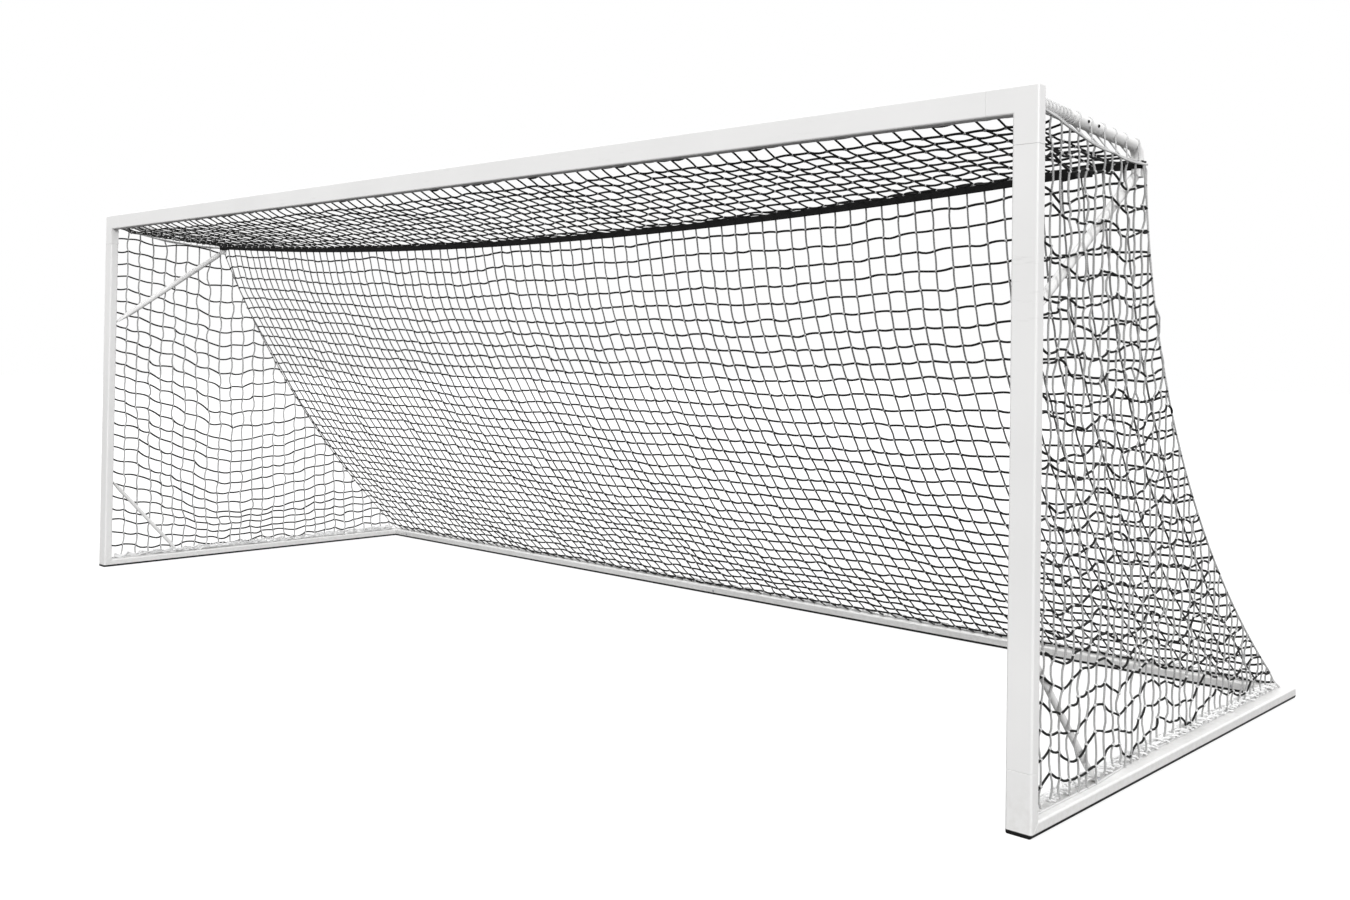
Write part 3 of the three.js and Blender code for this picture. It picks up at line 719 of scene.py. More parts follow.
def lathe(profile: Sequence[tuple[float, float]], place: Vector, axis: Vector, segments: int = 24) -> BMesh:
    """A turned piece: a profile spun round an axis.

    Args:
        profile: Radius and distance along the axis of each point; the first and last lie on the axis.
        place: Where distance zero is.
        axis: The direction of the axis.
        segments: Steps of the spin.

    Returns:
        The turned piece as a bmesh.
    """
    bm = bmesh.new()
    chain = [bm.verts.new((radius, 0.0, along)) for radius, along in profile]
    edges = [bm.edges.new(pair) for pair in zip(chain, chain[1:])]
    bmesh.ops.spin(bm, geom=chain + edges, cent=(0, 0, 0), axis=(0, 0, 1), angle=2 * math.pi,
                   steps=segments, use_merge=True)
    bmesh.ops.remove_doubles(bm, verts=bm.verts, dist=1e-6)
    turn = Vector((0, 0, 1)).rotation_difference(axis).to_matrix().to_4x4()
    bmesh.ops.transform(bm, matrix=Matrix.Translation(place) @ turn, verts=bm.verts)
    return bm


def rod_profile(radius: float, end: float, length: float,
                lip: float = 0.0006) -> list[tuple[float, float]]:
    """The profile of a short rod whose ends are chamfered.

    Args:
        radius: The rod's radius.
        end: Radius of its flat ends.
        length: Its length.
        lip: How long each chamfer is.

    Returns:
        Radius and distance of each point, for a lathe.
    """
    return [(0, 0), (end, 0), (radius, lip), (radius, length - lip), (end, length), (0, length)]


def cube(bm: BMesh, low: Vector, high: Vector) -> None:
    """Adds a plain box to a shape.

    Args:
        bm: The shape.
        low: The box's lowest corner.
        high: The box's highest corner.
    """
    verts = bmesh.ops.create_cube(bm, size=1.0)["verts"]
    bmesh.ops.scale(bm, vec=high - low, verts=verts)
    bmesh.ops.translate(bm, vec=(high + low) / 2, verts=verts)


def box_corners(node: str) -> tuple[Vector, Vector]:
    """The lowest and the highest corner of a CAD node's box.

    Args:
        node: The node's name.

    Returns:
        Both corners.
    """
    low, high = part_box(node)
    return Vector(low), Vector(high)


@dataclass
class CordBundle:
    """Cords of one finish, drawn as round curves and kept together as one piece.

    Attributes:
        corners: How finely their round section is cut.
        runs: Points, swelling and closing of every cord added so far.
    """

    name: str
    radius: float
    material: bpy.types.Material
    corners: int = 1
    runs: list[tuple[np.ndarray, np.ndarray | None, bool]] = field(default_factory=list)

    def add(self, points: np.ndarray | Sequence[Sequence[float]], swell: np.ndarray | None = None,
            closed: bool = False) -> None:
        """Adds one cord.

        Args:
            points: The points that it follows.
            swell: Its thickness at each point, as a share of the radius.
            closed: Whether it joins up with its own start.
        """
        self.runs.append((np.asarray(points, float), swell, closed))

    def build(self, slot: Slot, nodes: Sequence[str] = (), body: str = GOAL) -> bpy.types.Object:
        """Makes the piece.

        Args:
            slot: The record's slot; passed on, but not used.
            nodes: The CAD nodes that it stands for.
            body: The body that it rides on.

        Returns:
            The new object.
        """
        curve = bpy.data.curves.new(self.name, "CURVE")
        curve.dimensions = "3D"
        curve.bevel_depth = self.radius
        curve.bevel_resolution = self.corners
        curve.use_fill_caps = True
        for points, swell, closed in self.runs:
            spline = curve.splines.new("POLY")
            spline.points.add(len(points) - 1)
            spline.points.foreach_set("co", np.c_[points, np.ones(len(points))].ravel())
            if swell is not None:
                spline.points.foreach_set("radius", np.asarray(swell, float))
            spline.use_cyclic_u = closed
            spline.use_smooth = True
        curve.materials.append(self.material)
        piece = bpy.data.objects.new(self.name, curve)
        bpy.context.collection.objects.link(piece)
        return settle_piece(piece, slot, nodes, body)


# ---------------------------------------------------------------- front and ground frame


@dataclass
class Bars:
    """The front frame and the ground frame: one wide rounded section, mitred and butted.

    Attributes:
        face: Width of the section's wide face.
        edge: Rounding of its long edges.
        outer_x: Half the goal's width.
        corner_reach: Length of each leg of a top corner.
        joint_gap: Gap between two mitred bars.
    """

    finishes: Finishes
    face: float = 0.1016
    edge: float = 0.009
    outer_x: float = 3.7616
    corner_reach: float = 0.2066
    joint_gap: float = 0.0005

    def build(self) -> None:
        """Makes every bar of the goal."""
        self.straight("crossbar", Axis.X)
        for side, label in SIDES:
            self.straight(f"upright_{label}", Axis.Z)
            self.corner(side, label)
            self.foot(label)
            self.base_side(side, label)
            self.rear_stub(side, label)
            self.straight(f"rear_bar_{label}", Axis.X)

    def bar(self, low: Vector, high: Vector, axis: Axis) -> BMesh:
        """A length of the section.

        Args:
            low: Its lowest corner.
            high: Its highest corner.
            axis: The direction that it runs in.

        Returns:
            The bar as a bmesh.
        """
        return rounded_bar(low, high, axis, self.edge)

    def dress(self, name: str, bm: BMesh) -> None:
        """Breaks a bar's sawn edges and makes it the piece that stands for its node.

        Args:
            name: The node's name.
            bm: The bar.
        """
        break_edges(bm)
        finish_mesh(f"{name}_coat", bm, self.finishes.coat, Slot.COAT, [name])

    def straight(self, node: str, axis: Axis) -> None:
        """A bar cut square at both ends.

        Args:
            node: The node that it stands for.
            axis: The direction that it runs in.
        """
        low, high = box_corners(node)
        self.dress(node, self.bar(low, high, axis))

    def corner(self, side: int, label: str) -> None:
        """A top corner: a block with a leg down the post and a leg along the crossbar.

        Args:
            side: 1 on the right, -1 on the left.
            label: The side's name.
        """
        node = f"top_corner_{label}"
        low, high = box_corners(node)
        block_low = Vector((low.x if side < 0 else high.x - self.face, low.y, high.z - self.face))
        block_high = Vector((low.x + self.face if side < 0 else high.x, high.y, high.z))
        bm = bmesh.new()
        cube(bm, block_low, block_high)
        leg = self.corner_reach - self.face
        ways = (Vector((0, 0, -1)), Vector((-side, 0, 0)))
        for way in ways:
            bm.normal_update()
            end = next(f for f in bm.faces if f.normal.dot(way) > 0.99)
            grown = bmesh.ops.extrude_face_region(bm, geom=[end])["geom"]
            bmesh.ops.translate(bm, vec=way * leg, verts=[g for g in grown if isinstance(g, BMVert)])
            bmesh.ops.delete(bm, geom=[end], context="FACES_ONLY")
        bm.normal_update()
        ends = {f for f in bm.faces for way in ways if f.normal.dot(way) > 0.99
                and (f.calc_center_median() - block_low).dot(way) > self.face / 2}
        tips = {e for f in ends if self.is_tip(f, block_low, block_high) for e in f.edges}
        along = [e for e in bm.edges if e not in tips and len(e.link_faces) == 2
                 and e.calc_face_angle(0) > 1.0 and e.is_convex]
        round_edges(bm, along, self.edge, 6)
        self.dress(node, bm)

    def is_tip(self, face: BMFace, low: Vector, high: Vector) -> bool:
        """Whether a face is the sawn end of a corner's leg.

        Args:
            face: The face.
            low: Lowest corner of the corner's own block.
            high: Highest corner of the block.

        Returns:
            True when it lies beyond the block.
        """
        middle = face.calc_center_median()
        clear = self.edge
        return middle.z < low.z - clear or not low.x - clear < middle.x < high.x + clear

    def foot(self, label: str) -> None:
        """The foot of a post, mitred where the base side starts.

        Args:
            label: The side's name.
        """
        node = f"foot_{label}"
        low, high = box_corners(node)
        bm = self.bar(low, high, Axis.Z)
        saw(bm, Vector((0, FRONT, 0)), Vector((0, 1, -1)))
        self.dress(node, bm)

    def base_side(self, side: int, label: str) -> None:
        """A base side, mitred to the foot in front and to the rear bar behind.

        Args:
            side: 1 on the right, -1 on the left.
            label: The side's name.
        """
        node = f"base_side_{label}"
        low, high = box_corners(node)
        bm = self.bar(low, high, Axis.Y)
        saw(bm, Vector((0, FRONT + self.joint_gap, 0)), Vector((0, -1, 1)))
        inner = Vector((side * (self.outer_x - self.face), -FRONT - self.face - self.joint_gap, 0))
        saw(bm, inner, Vector((-side, 1, 0)))
        self.dress(node, bm)

    def rear_stub(self, side: int, label: str) -> None:
        """The corner length of the rear bar.

        Args:
            side: 1 on the right, -1 on the left.
            label: The side's name.
        """
        node = f"rear_stub_{label}"
        low, high = box_corners(node)
        bm = self.bar(low, high, Axis.X)
        saw(bm, Vector((side * (self.outer_x - self.face), -FRONT - self.face, 0)), Vector((side, -1, 0)))
        self.dress(node, bm)


@dataclass
class Bolts:
    """Button-head bolts with a socket.

    Attributes:
        radius: Radius of the head.
        height: Height of the head.
        small: Size of a tube bolt's head, as a share of the others'.
    """

    finishes: Finishes
    radius: float = 0.008
    height: float = 0.0048
    small: float = 0.75

    def build(self) -> None:
        """Makes a detailed bolt for every bolt node."""
        for node in sorted(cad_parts):
            if "bolt" in node:
                self.bolt(node)

    def direction(self, node: str) -> Vector:
        """Which way a bolt's head faces.

        Args:
            node: The bolt's name.

        Returns:
            A unit vector.
        """
        side = 1 if "right" in node else -1
        if node.startswith("tube_bolt"):
            return Vector((side, 0, 0))
        if node.startswith("rear_bolt"):
            return Vector((0, -1, 0))
        on_base = node.startswith("lower_brace_bolt") and node.endswith("2")
        return Vector((0, 0, 1)) if on_base else Vector((0, 1, 0))

    def bolt(self, node: str) -> None:
        """One bolt, its head's crown where the node's is.

        Args:
            node: The node that it stands for.
        """
        low, high = box_corners(node)
        way = self.direction(node)
        middle = (low + high) / 2
        crown = middle + way * abs((high - low).dot(way)) / 2
        on_tube = node.startswith("tube_bolt")
        r, h = self.radius * (self.small if on_tube else 1.0), self.height
        shank, socket = r / 2, r * 0.42
        length = abs((high - low).dot(way)) - h
        profile = [(0, -length), (shank, -length), (shank, 0), (r, 0), (r, h * 0.35),
                   (r * 0.93, h * 0.6), (r * 0.72, h * 0.9), (r * 0.5, h),
                   (socket, h * 0.94), (socket, h * 0.3), (0, h * 0.25)]
        bm = lathe(profile, crown - way * h, way)
        finish = self.finishes.dark_steel if on_tube else self.finishes.zinc
        finish_mesh(f"{node}_head", bm, finish, Slot.ZINC, [node], weighted=False)


# ---------------------------------------------------------------- net supports


def at(side: int, back: float, height: float, post_x: float = POST_X) -> Vector:
    """A point in the upright plane of one side's net support.

    Args:
        side: 1 on the right, -1 on the left.
        back: Distance behind the front face.
        height: Height above the ground.
        post_x: Distance of that plane from the middle of the goal.

    Returns:
        The point.
    """
    return Vector((side * post_x, FRONT + back, height))


@dataclass
class Supports:
    """Round top supports, their sockets, and the diagonal and lower braces.

    Attributes:
        thick: Depth of the post, which is where the supports start.
        gap: Gap that every tube keeps to the post.
        start_z: Height of the tube's axis at the post.
        drop: How much lower that axis is at the bend.
        sleeve_start: Where the top tube starts, behind the front face.
        socket_end: Where the socket ends inside it.
        bend_back: Where the tube bends down.
        tail: Length of the straight end below the bend.
        brace_low_z: Height of the diagonal brace's bolt on the post.
        brace_high_z: Height at which its axis would meet the tail's.
        brace_flat: How far its flat end starts and stops below the bolt.
        brace_mouth: How far it stops short of the tail's axis.
        lower_z: Height of the lower brace's bend at the post.
        lower_back: Depth of its bend on the base side.
        lower_flat: Length of its flat ends.
        tab: Thickness of a flat end.
        lip: Rounding of the top tube's cut ends.
        segments: Corners of a round tube's section.
        bend_steps: Steps round the top tube's bend.
    """

    finishes: Finishes
    thick: float = 0.0508
    gap: float = 0.0004
    tube_radius: float = 0.02415
    socket_radius: float = 0.0208
    start_z: float = 2.4908
    drop: float = 0.055
    sleeve_start: float = 0.33
    socket_end: float = 0.56
    bend_back: float = 0.87
    bend_radius: float = 0.055
    tail: float = 0.068
    brace_radius: float = 0.019
    brace_low_z: float = 1.765
    brace_high_z: float = 2.334
    brace_flat: tuple[float, float] = (0.062, 0.004)
    brace_mouth: float = 0.03
    lower_radius: float = 0.0127
    lower_z: float = 0.62
    lower_back: float = 0.56
    lower_flat: float = 0.046
    tab: float = 0.005
    lip: float = 0.0015
    segments: int = 40
    bend_steps: int = 12

    def height(self, back: float) -> float:
        """Height of the top tube's axis.

        Args:
            back: Distance behind the front face.

        Returns:
            Height above the ground.
        """
        return self.start_z - (back - self.thick) * self.drop / (self.bend_back - self.thick)

    def build(self) -> None:
        """Makes both sides' supports."""
        for side, label in SIDES:
            self.socket(side, label)
            self.top_tube(side, label)
            self.brace(side, label)
            self.lower_brace(side, label)

    def socket(self, side: int, label: str) -> None:
        """The thinner tube that stands out of the post and carries the top tube.

        Args:
            side: 1 on the right, -1 on the left.
            label: The side's name.
        """
        reach = (self.thick + self.gap, self.socket_end)
        start, end = (at(side, back, self.height(back)) for back in reach)
        r = self.socket_radius
        rings = [Station(start, Vector((0, 1, 0)), r, r), Station(start.lerp(end, 0.04), end - start, r, r),
                 Station(end, end - start, r, r)]
        bm = swept_tube(rings, Vector((1, 0, 0)), self.segments)
        finish_mesh(f"top_socket_{label}_coat", bm, self.finishes.coat, Slot.COAT, [f"top_socket_{label}"])

    def top_tube(self, side: int, label: str) -> None:
        """The sleeve tube with its elbow and tail, its cut ends rounded.

        Args:
            side: 1 on the right, -1 on the left.
            label: The side's name.
        """
        slope = math.atan2(self.drop, self.bend_back - self.thick)
        ahead = Vector((0, math.cos(slope), -math.sin(slope)))
        corner = at(side, self.bend_back, self.height(self.bend_back))
        turn = math.pi / 2 - slope
        trim = self.bend_radius * math.tan(turn / 2)
        bend_start = corner - ahead * trim
        hub = bend_start - Vector((0, math.sin(slope), math.cos(slope))) * self.bend_radius
        r, lip = self.tube_radius, self.lip
        start = at(side, self.sleeve_start, self.height(self.sleeve_start))
        rings = [Station(start, ahead, r - lip, r - lip), Station(start + ahead * lip, ahead, r, r)]
        for step in range(self.bend_steps + 1):
            turned = Quaternion(Vector((-1, 0, 0)), turn * step / self.bend_steps)
            rings.append(Station(hub + turned @ (bend_start - hub), turned @ ahead, r, r))
        low = corner - Vector((0, 0, trim + self.tail))
        down = Vector((0, 0, -1))
        rings.append(Station(low - down * lip, down, r, r))
        rings.append(Station(low, down, r - lip, r - lip))
        bm = swept_tube(rings, Vector((1, 0, 0)), self.segments)
        finish_mesh(f"top_tube_{label}_coat", bm, self.finishes.coat, Slot.COAT, [f"top_tube_{label}"])

    def flattened(self, points: Sequence[tuple[Vector, Vector, float, float]], segments: int) -> BMesh:
        """A tube with pressed-flat ends.

        Args:
            points: Centre, heading, half width and half thickness of each ring.
            segments: Corners of each ring.

        Returns:
            The tube as a bmesh.
        """
        return swept_tube([Station(*ring) for ring in points], Vector((1, 0, 0)), segments)

    def brace(self, side: int, label: str) -> None:
        """The diagonal brace: pressed flat against the post below, fish-mouthed to the tail above.

        Args:
            side: 1 on the right, -1 on the left.
            label: The side's name.
        """
        face = self.thick + self.gap + self.tab / 2
        r, flat = self.brace_radius, self.tab / 2
        low, bend = (at(side, face, self.brace_low_z - below) for below in self.brace_flat)
        high = at(side, self.bend_back - self.brace_mouth, self.brace_high_z - 0.7 * self.brace_mouth)
        run = high - bend
        up = Vector((0, 0, 1))
        rings = [(low, up, r * 0.7, flat), (low + up * 0.004, up, r * 1.1, flat),
                 (bend, up + run.normalized(), r * 1.15, flat)]
        for share, wide, half in ((0.05, 1.1, 0.45), (0.11, 1.02, 0.85), (0.16, 1.0, 1.0), (0.97, 1.0, 1.0)):
            rings.append((bend + run * share, run, r * wide, r * half))
        rings.append((high, Vector((0, 1, 0)) + run.normalized(), r * 0.98, r * 0.98))
        node = f"diagonal_brace_{label}"
        finish_mesh(f"{node}_coat", self.flattened(rings, 36), self.finishes.coat, Slot.COAT, [node])

    def lower_brace(self, side: int, label: str) -> None:
        """The lower brace, pressed flat and bolted at both ends.

        Args:
            side: 1 on the right, -1 on the left.
            label: The side's name.
        """
        face = self.thick + self.gap + self.tab / 2
        r, flat = self.lower_radius, self.tab / 2
        top, bend = at(side, face, self.lower_z + self.lower_flat), at(side, face, self.lower_z)
        knee, toe = at(side, self.lower_back, face), at(side, self.lower_back + self.lower_flat, face)
        run = knee - bend
        down, rear = Vector((0, 0, -1)), Vector((0, 1, 0))
        rings = [(top, down, r * 0.7, flat), (top + down * 0.003, down, r * 1.15, flat),
                 (bend, down + run.normalized(), r * 1.2, flat)]
        for share, wide, half in ((0.04, 1.15, 0.5), (0.08, 1.05, 0.85), (0.12, 1.0, 1.0),
                                  (0.88, 1.0, 1.0), (0.92, 1.05, 0.85), (0.96, 1.15, 0.5)):
            rings.append((bend + run * share, run, r * wide, r * half))
        rings.append((knee, run.normalized() + rear, r * 1.2, flat))
        rings += [(toe - rear * 0.003, rear, r * 1.15, flat), (toe, rear, r * 0.7, flat)]
        node = f"lower_brace_{label}"
        finish_mesh(f"{node}_coat", self.flattened(rings, 28), self.finishes.coat, Slot.COAT, [node])


# ---------------------------------------------------------------- strap


@dataclass
class Strap:
    """The webbing strap across the back: band, free end, loops and the cam buckle.

    Attributes:
        end_z: Height of its middle line at both ends.
        sag: How much lower that line is in the middle.
        half: Half the band's length.
        back: Its depth behind the front face.
        buckle_x: Where the buckle sits.
        free_out: How far from there the free end comes out, towards the middle.
        free_start: How far from there it starts to leave the band.
        free_end_x: Where the free end stops.
        free_lift: How far it lies in front of the band.
        free_low: How far it lies below the band's middle line.
        free_slope: How fast it leaves the band past the buckle.
        free_curl: How that quickens.
        loop_radius: Inner radius of the loops.
        loop_reach: Distance from a tube's axis to the seam of its loop.
        loop_steps: Steps round a loop.
        chamfer: Broken edge of the buckle's pieces.
    """

    finishes: Finishes
    width: float = 0.032
    thick: float = 0.002
    end_z: float = 2.364
    sag: float = 0.125
    half: float = 3.6128
    back: float = 0.87
    buckle_x: float = 3.5
    free_out: float = 0.026
    free_start: float = 0.03
    free_end_x: float = 3.395
    free_lift: float = 0.0028
    free_low: float = 0.006
    free_slope: float = 0.05
    free_curl: float = 0.3
    loop_radius: float = 0.02455
    loop_reach: float = 0.0985
    loop_steps: int = 24
    chamfer: float = 0.0004

    def height(self, x: float) -> float:
        """Height of the strap's middle line.

        Args:
            x: Distance from the middle of the goal.

        Returns:
            Height above the ground.
        """
        return self.end_z - self.sag * (1 - min(abs(x) / self.half, 1.0) ** 2)

    def band(self, start_x: float, end_x: float, place: Callable[[float], tuple[float, float]],
             cuts: int) -> BMesh:
        """A flat band with turned edges that runs along X.

        Args:
            start_x: Where it starts.
            end_x: Where it ends.
            place: Its depth and height at any X.
            cuts: Steps along it.

        Returns:
            The band as a bmesh.
        """
        bm = bmesh.new()
        bmesh.ops.create_cube(bm, size=1.0)
        bmesh.ops.scale(bm, vec=(1.0, self.thick, self.width), verts=bm.verts)
        long = [e for e in bm.edges if abs(e.verts[0].co.x - e.verts[1].co.x) > 0.5]
        round_edges(bm, long, self.thick * 0.4, 2)
        long = [e for e in bm.edges if abs(e.verts[0].co.x - e.verts[1].co.x) > 0.5]
        bmesh.ops.subdivide_edges(bm, edges=long, cuts=cuts, use_grid_fill=True)
        for vert in bm.verts:
            vert.co.x = start_x + (vert.co.x + 0.5) * (end_x - start_x)
            depth, height = place(vert.co.x)
            vert.co.y += depth
            vert.co.z += height
        return bm

    def build(self) -> None:
        """Makes the strap and all that is on it."""
        bm = self.band(-self.half, self.half, lambda x: (FRONT + self.back, self.height(x)), 120)
        finish_mesh("rear_strap_band", bm, self.finishes.webbing, Slot.WEBBING, ["rear_strap"])
        self.free_end()
        for side, label in SIDES:
            self.loop(side, label)
        self.buckle()

    def free_end(self) -> None:
        """The free end, which comes out of the buckle in front of the band."""

        def place(x: float) -> tuple[float, float]:
            """The free end leaves the band and droops past the buckle."""
            past = max(0.0, self.buckle_x - self.free_start - x)
            lift = self.free_lift + self.free_slope * past
            droop = self.free_low + self.free_slope * past + self.free_curl * past ** 2
            return FRONT + self.back - lift, self.height(x) - droop

        bm = self.band(self.free_end_x, self.buckle_x - self.free_out, place, 24)
        finish_mesh("strap_free_end", bm, self.finishes.webbing, Slot.WEBBING)

    def loop(self, side: int, label: str) -> None:
        """The sewn loop that holds the strap to the tail of the top tube.

        Args:
            side: 1 on the right, -1 on the left.
            label: The side's name.
        """
        mid = self.loop_radius + self.thick / 2
        touch = math.acos(mid / self.loop_reach)
        bm = bmesh.new()
        hub = at(side, self.back, self.end_z)
        path = [Vector((-self.loop_reach, 0, 0))]
        for step in range(self.loop_steps + 1):
            angle = math.pi + touch + 2 * (math.pi - touch) * step / self.loop_steps
            path.append(Vector((math.cos(angle), math.sin(angle), 0)) * mid)
        turn = Matrix.Rotation(0.0 if side > 0 else math.pi, 4, "Z")
        chain = [bm.verts.new(turn @ p + hub - Vector((0, 0, self.width / 2))) for p in path]
        edges = [bm.edges.new(pair) for pair in zip(chain, chain[1:] + chain[:1])]
        grown = bmesh.ops.extrude_edge_only(bm, edges=edges)["geom"]
        upper = [g for g in grown if isinstance(g, BMVert)]
        bmesh.ops.translate(bm, vec=(0, 0, self.width), verts=upper)
        bmesh.ops.recalc_face_normals(bm, faces=bm.faces)
        bmesh.ops.solidify(bm, geom=bm.faces[:], thickness=self.thick * 0.96)
        break_edges(bm, 0.0005, 60)
        node = f"strap_loop_{label}"
        finish_mesh(f"{node}_web", bm, self.finishes.webbing, Slot.WEBBING, [node])

    def buckle(self) -> None:
        """The cam buckle: a plate with two walls for the pin and two bars for the band, pin and lever."""
        low, high = box_corners("buckle_body")
        wall, wall_start, wall_end = 0.002, low.x + 0.0142, low.x + 0.0438
        bar, bar_y, inside = 0.004, high.y - 0.0055, high.y - 0.001
        plate = rounded_bar(Vector((low.x, high.y - wall, low.z)), high, Axis.Y, 0.0035, 4)
        for z in (low.z, high.z - wall):
            cube(plate, Vector((wall_start, low.y, z)), Vector((wall_end, inside, z + wall)))
        for x in (low.x + bar, high.x - 2 * bar):
            cube(plate, Vector((x, bar_y, low.z + bar)), Vector((x + bar, inside, high.z - bar)))
        break_edges(plate, self.chamfer, 60)
        finish_mesh("buckle_channel", plate, self.finishes.buckle, Slot.PLASTIC, ["buckle_body"])
        low, high = box_corners("buckle_pin")
        middle, r = (low + high) / 2, (high.x - low.x) / 2
        profile = rod_profile(r, r * 0.7, high.z - low.z)
        bm = lathe(profile, Vector((middle.x, middle.y, low.z)), Vector((0, 0, 1)))
        finish_mesh("buckle_pin_steel", bm, self.finishes.zinc, Slot.ZINC, ["buckle_pin"], weighted=False)
        self.lever(middle)

    def lever(self, pin: Vector) -> None:
        """The lever that clamps the band: a handle with ribs under the thumb, on a round cam.

        Args:
            pin: The middle of the pin that it turns on.
        """
        low, high = box_corners("buckle_lever")
        root = Vector((pin.x + 0.0005, low.y + 0.003, high.z))
        handle = rounded_bar(low, root, Axis.Y, 0.004, 4)
        margin, rib_pitch, rib_low, rib_size = 0.005, 0.004, 0.0004, Vector((0.0018, 0.0016, 0.0))
        for rib in range(5):
            start = Vector((low.x + margin + rib_pitch * rib, low.y - rib_low, low.z + margin))
            cube(handle, start, Vector((start.x, start.y, high.z - margin)) + rib_size)
        break_edges(handle, self.chamfer, 60)
        radius, lip = 0.006, 0.0006
        profile = rod_profile(radius, radius - lip, high.z - low.z, lip)
        barrel = lathe(profile, Vector((pin.x, pin.y, low.z)), Vector((0, 0, 1)), 32)
        joined = bpy.data.meshes.new("barrel")
        barrel.to_mesh(joined)
        barrel.free()
        handle.from_mesh(joined)
        bpy.data.meshes.remove(joined)
        finish_mesh("buckle_lever_cam", handle, self.finishes.buckle, Slot.PLASTIC, ["buckle_lever"], LEVER)


# ---------------------------------------------------------------- net


def drift(rows: int, columns: int, coarse: tuple[int, int], seed: int) -> np.ndarray:
    """A smooth random field, about -1 to 1.

    Args:
        rows: Its rows.
        columns: Its columns.
        coarse: Rows and columns of the random values that it runs smoothly between.
        seed: Where the random values start.

    Returns:
        An array of rows by columns.
    """
    values = np.random.default_rng(seed).uniform(-1, 1, coarse)

    def ease(count: int, over: int) -> tuple[np.ndarray, np.ndarray]:
        """Index of the value before each place, and the eased share of the one after it."""
        place = np.linspace(0, over - 1.001, count)
        index = place.astype(int)
        share = place - index
        return index, share * share * (3 - 2 * share)

    r, rs = ease(rows, coarse[0])
    c, cs = ease(columns, coarse[1])
    top = values[r][:, c] * (1 - cs) + values[r][:, c + 1] * cs
    low = values[r + 1][:, c] * (1 - cs) + values[r + 1][:, c + 1] * cs
    return top * (1 - rs)[:, None] + low * rs[:, None]


def hang(points: np.ndarray, links: np.ndarray, rest: np.ndarray, fixed: np.ndarray,
         steps: int, floor: np.ndarray, drop: float = 0.0005, rounds: int = 12) -> np.ndarray:
    """Lets a web of knots hang: cords pull only when they are taut, and weight pulls down.

    Args:
        points: Where every knot starts.
        links: The two knots at the ends of each cord.
        rest: The length of each cord.
        fixed: Which knots are tied down.
        steps: How many moments to run.
        floor: The height that each knot stops sinking at.
        drop: How far a free knot would fall in the first moment.
        rounds: How often the cords pull in each moment.

    Returns:
        Where every knot comes to rest.
    """
    free = ~fixed
    now, before = points.copy(), points.copy()
    kept_speed, eager = 0.9, 1.7
    first, second = links.T
    give = np.where(fixed, 0.0, 1.0)
    share = give[first] + give[second]
    share_first = np.divide(give[first], share, out=np.zeros(len(links)), where=share > 0)
    share_second = np.divide(give[second], share, out=np.zeros(len(links)), where=share > 0)
    busy = np.maximum(np.bincount(links.ravel(), minlength=len(points)), 1)[:, None]
    for _ in range(steps):
        moved = (now - before) * kept_speed
        before = now.copy()
        now[free] += moved[free]
        now[free, 2] -= drop
        for _ in range(rounds):
            along = now[second] - now[first]
            length = np.maximum(np.linalg.norm(along, axis=1), 1e-9)
            pull = along * (np.maximum(length - rest, 0.0) / length)[:, None]
            shift = np.zeros_like(now)
            for axis in range(3):
                shift[:, axis] = np.bincount(first, pull[:, axis] * share_first, len(now))
                shift[:, axis] -= np.bincount(second, pull[:, axis] * share_second, len(now))
            now += eager * shift / busy
        now[free, 2] = np.maximum(now[free, 2], floor[free])
    return now


def along_curve(points: np.ndarray, count: int) -> np.ndarray:
    """Evenly spaced points along a line of points.

    Args:
        points: The line.
        count: How many points to give.

    Returns:
        The spaced points, ends included.
    """
    steps = np.r_[0, np.cumsum(np.linalg.norm(np.diff(points, axis=0), axis=1))]
    wanted = np.linspace(0, steps[-1], count)
    return np.column_stack([np.interp(wanted, steps, points[:, axis]) for axis in range(points.shape[1])])


def bowed(knots: np.ndarray, length: np.ndarray, lean: np.ndarray, cuts: int) -> np.ndarray:
    """A cord through its knots that bows between them, as a parabola of its own length would.

    Args:
        knots: The knots in order.
        length: The cord's length between each pair.
        lean: The way that it bows between each pair, a vector of about unit length.
        cuts: Points between each pair.

    Returns:
        The cord's points.
    """
    start, end = knots[:-1], knots[1:]
    chord = np.linalg.norm(end - start, axis=1)
    spare = np.maximum(length - chord, 0.0)
    depth = np.sqrt(0.375 * chord * spare)[:, None]
    steps = []
    for cut in range(1, cuts + 2):
        share = cut / (cuts + 1)
        steps.append(start + (end - start) * share + lean * depth * 4 * share * (1 - share))
    return np.vstack([knots[:1], np.stack(steps, axis=1).reshape(-1, 3)])


